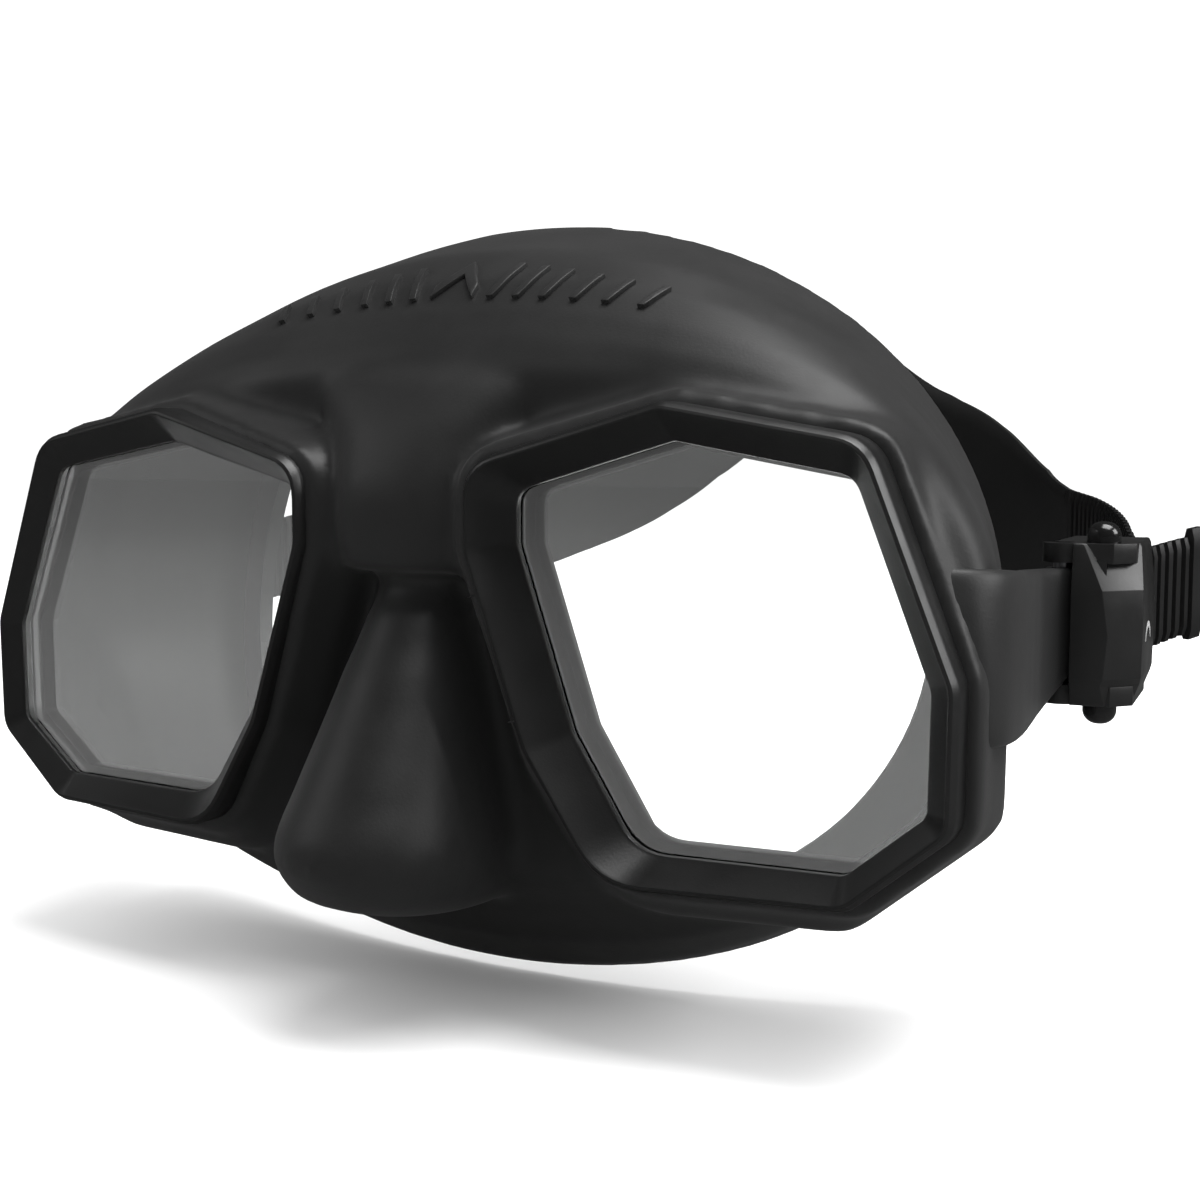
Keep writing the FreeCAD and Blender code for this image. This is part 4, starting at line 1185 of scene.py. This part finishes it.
        # Shares of the tail's flare and of its length, from its loose end.
        flares = ((1, 1), (0.62, 0.75), (0.27, 0.48), (0.06, 0.2))
        knots = [(x0 + r + out * self.tail_flare, self.exit_y + back * self.tail_length)
                 for out, back in flares]
        knots += [(x0 + r, self.exit_y - 1.5), (x0 + r, 9.5), (x0 + r, y0)]
        knots += arc(x0, y0, r, [-math.radians(a) for a in (30, 60, 90, 120, 150, 180)])
        middle, half = self.middle_z, self.half_height
        steps, last = 300, len(knots) - 1
        times = [last * i / steps for i in range(steps + 1)]
        places = [buckle.at(*spline(knots, t)) for t in times]
        rows = []
        for t, place, length in zip(times, places, path_lengths(places)):
            ahead = buckle.at(*spline(knots, min(t + PATH_STEP, last - 1e-6)))
            step = ahead - buckle.at(*spline(knots, max(t - PATH_STEP, 0)))
            outward = Vector((-step.y, step.x, 0)).normalized()
            rise = 1.9 * (1 - min(length / self.rise_length, 1.0)) ** 0.8
            low, high = middle - half + 1.6 * rise, middle + half + 1.25 * rise
            if length < self.lip_length:
                rows.append((place, outward, low - 0.7, high + 1.0, 0.95, 0.65))
            else:
                ribs, plain = self.face_depths(length, 1.0)
                rows.append((place, outward, low, high, ribs, plain))
        return rows

    def panel(self) -> Piece:
        """Back panel, split by an arched slot behind the head."""
        rows = []
        for i in range(121):
            degrees = self.split + (180 - 2 * self.split) * i / 120
            place, outward = self.loop(degrees)
            fold = degrees if degrees <= 90 else 180 - degrees
            low, high = along(self.lower, fold)[0], along(self.upper, fold)[0]
            rows.append((place, outward, low, high, self.thickness / 2, self.thickness / 2))
        band = self.ribbon("strap_panel", rows, 16)
        width, height, half, sag = self.slot
        slot = [(width * c, height + half * s - sag * (width * c) * (width * c))
                for c, s in around(48)]
        back = self.centre_y + self.half_depth
        depths = (back - 15, back + 15)
        carve(band, loft("slot", [[glass(x, y, z) for x, z in slot] for y in depths]))
        chamfer(band, 0.2, 2, 50)
        smooth(band, 35)
        return band

    def build(self) -> None:
        """Make the panel, both runs and both tails; hang the panel on the frame and the tails on
        their buckles.
        """
        panel = self.panel()
        self.paint.dress(panel, STRAP_SILICONE)
        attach(panel, "mask")
        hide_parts("strap_band")
        run = self.ribbon("strap_run", self.run_path())
        tail = self.ribbon("strap_tail", self.tail_path())
        for side in Side:
            word = side.word
            pieces = (run, tail)
            if side is Side.RIGHT:
                pieces = (mirror_copy(run, "strap_run"), mirror_copy(tail, "strap_tail"))
            run_here, tail_here = pieces
            run_here.name, tail_here.name = f"strap_run_{word}", f"strap_tail_{word}"
            for piece in pieces:
                self.paint.dress(piece, STRAP_SILICONE)
                LOG.info("%s: %d faces", piece.name, len(piece.data.polygons))
            start = BuckleFrame(side).at(1.4, self.exit_y + 2.0)
            end = self.loop(self.split)[0]
            end.x *= side.value
            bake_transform(run_here)
            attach(tail_here, f"buckle_{word}")
            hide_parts(f"strap_end_{word}")


# ---------------------------------------------------------------- studio

@dataclass
class Studio:
    """Pale floor, soft lights and the camera."""

    paint: Paintbox
    floor_size: float = 12.0
    floor_front: float = -2.0
    # Strength of the surroundings, and what rough surfaces see of it.
    bright: float = 1.15
    dim: float = 0.05

    def floor(self) -> None:
        """A wide flat pale sheet just under the mask."""
        low = CAD_BOX[0][2]

        def place(u: float, v: float) -> Vector:
            return Vector(((u - 0.5) * self.floor_size,
                           self.floor_front + self.floor_size * v, low))

        sweep = grid("floor", 24, 48, place)
        smooth(sweep, 60)
        self.paint.dress(sweep, PaperFinish())

    def light(self, name: str, place: Vector, size: float, power: float, aim: Vector) -> None:
        """A square soft box aimed at a point."""
        data = bpy.data.lights.new(name, "AREA")
        data.size = size
        data.energy = power
        lamp = bpy.data.objects.new(name, data)
        lamp.location = place
        lamp.rotation_euler = (aim - place).to_track_quat("-Z", "Y").to_euler()
        bpy.context.scene.collection.objects.link(lamp)

    def world(self) -> None:
        """White surroundings that rough surfaces see as a dim room, so that they stay dark."""
        world = bpy.data.worlds.new("studio")
        world.use_nodes = True
        tree = world.node_tree
        tree.nodes.clear()
        strength = add_node(tree, "ShaderNodeMapRange", Value=rough_reflection(tree))
        strength.inputs["To Min"].default_value = self.bright
        strength.inputs["To Max"].default_value = self.dim
        back = add_node(tree, "ShaderNodeBackground", Color=(1, 1, 1, 1),
                        Strength=strength.outputs["Result"])
        add_node(tree, "ShaderNodeOutputWorld", Surface=back.outputs["Background"])
        bpy.context.scene.world = world

    def camera(self) -> None:
        """A 50 mm view from the wearer's front left, a little above the middle."""
        data = bpy.data.cameras.new("camera")
        data.lens = 50.0
        data.sensor_width = 36.0
        data.clip_start = 0.01
        camera = bpy.data.objects.new("camera", data)
        azimuth, elevation = math.radians(29.3), math.radians(5.5)
        forward = Vector((-math.sin(azimuth) * math.cos(elevation),
                          math.cos(azimuth) * math.cos(elevation), -math.sin(elevation)))
        camera.location = glass(114.0, -157.3, 22.65)
        camera.rotation_euler = forward.to_track_quat("-Z", "Y").to_euler()
        bpy.context.scene.collection.objects.link(camera)
        bpy.context.scene.camera = camera

    def build(self) -> None:
        """Set up the floor, surroundings, lights and camera."""
        self.floor()
        self.world()
        middle = Vector((0.0, 0.0, 0.0))
        self.light("overhead", Vector((0.25, 0.0, 0.8)), 0.6, 9.0, middle)
        self.light("right_rear", Vector((0.8, 0.15, 0.4)), 0.4, 4.0, middle)
        self.light("front_left", Vector((-0.7, -0.5, 0.5)), 0.4, 0.8, middle)
        self.camera()
        bpy.context.scene.view_settings.view_transform = "Standard"


def main() -> None:
    """Build the mask's looks and the studio."""
    logging.basicConfig(level=logging.INFO)
    paint = Paintbox()
    Skirt(paint).build()
    for side in Side:
        Window(side, paint).build()
        Buckle(side, paint).build()
    Strap(paint).build()
    Studio(paint).build()


if __name__ == "__main__":
    main()
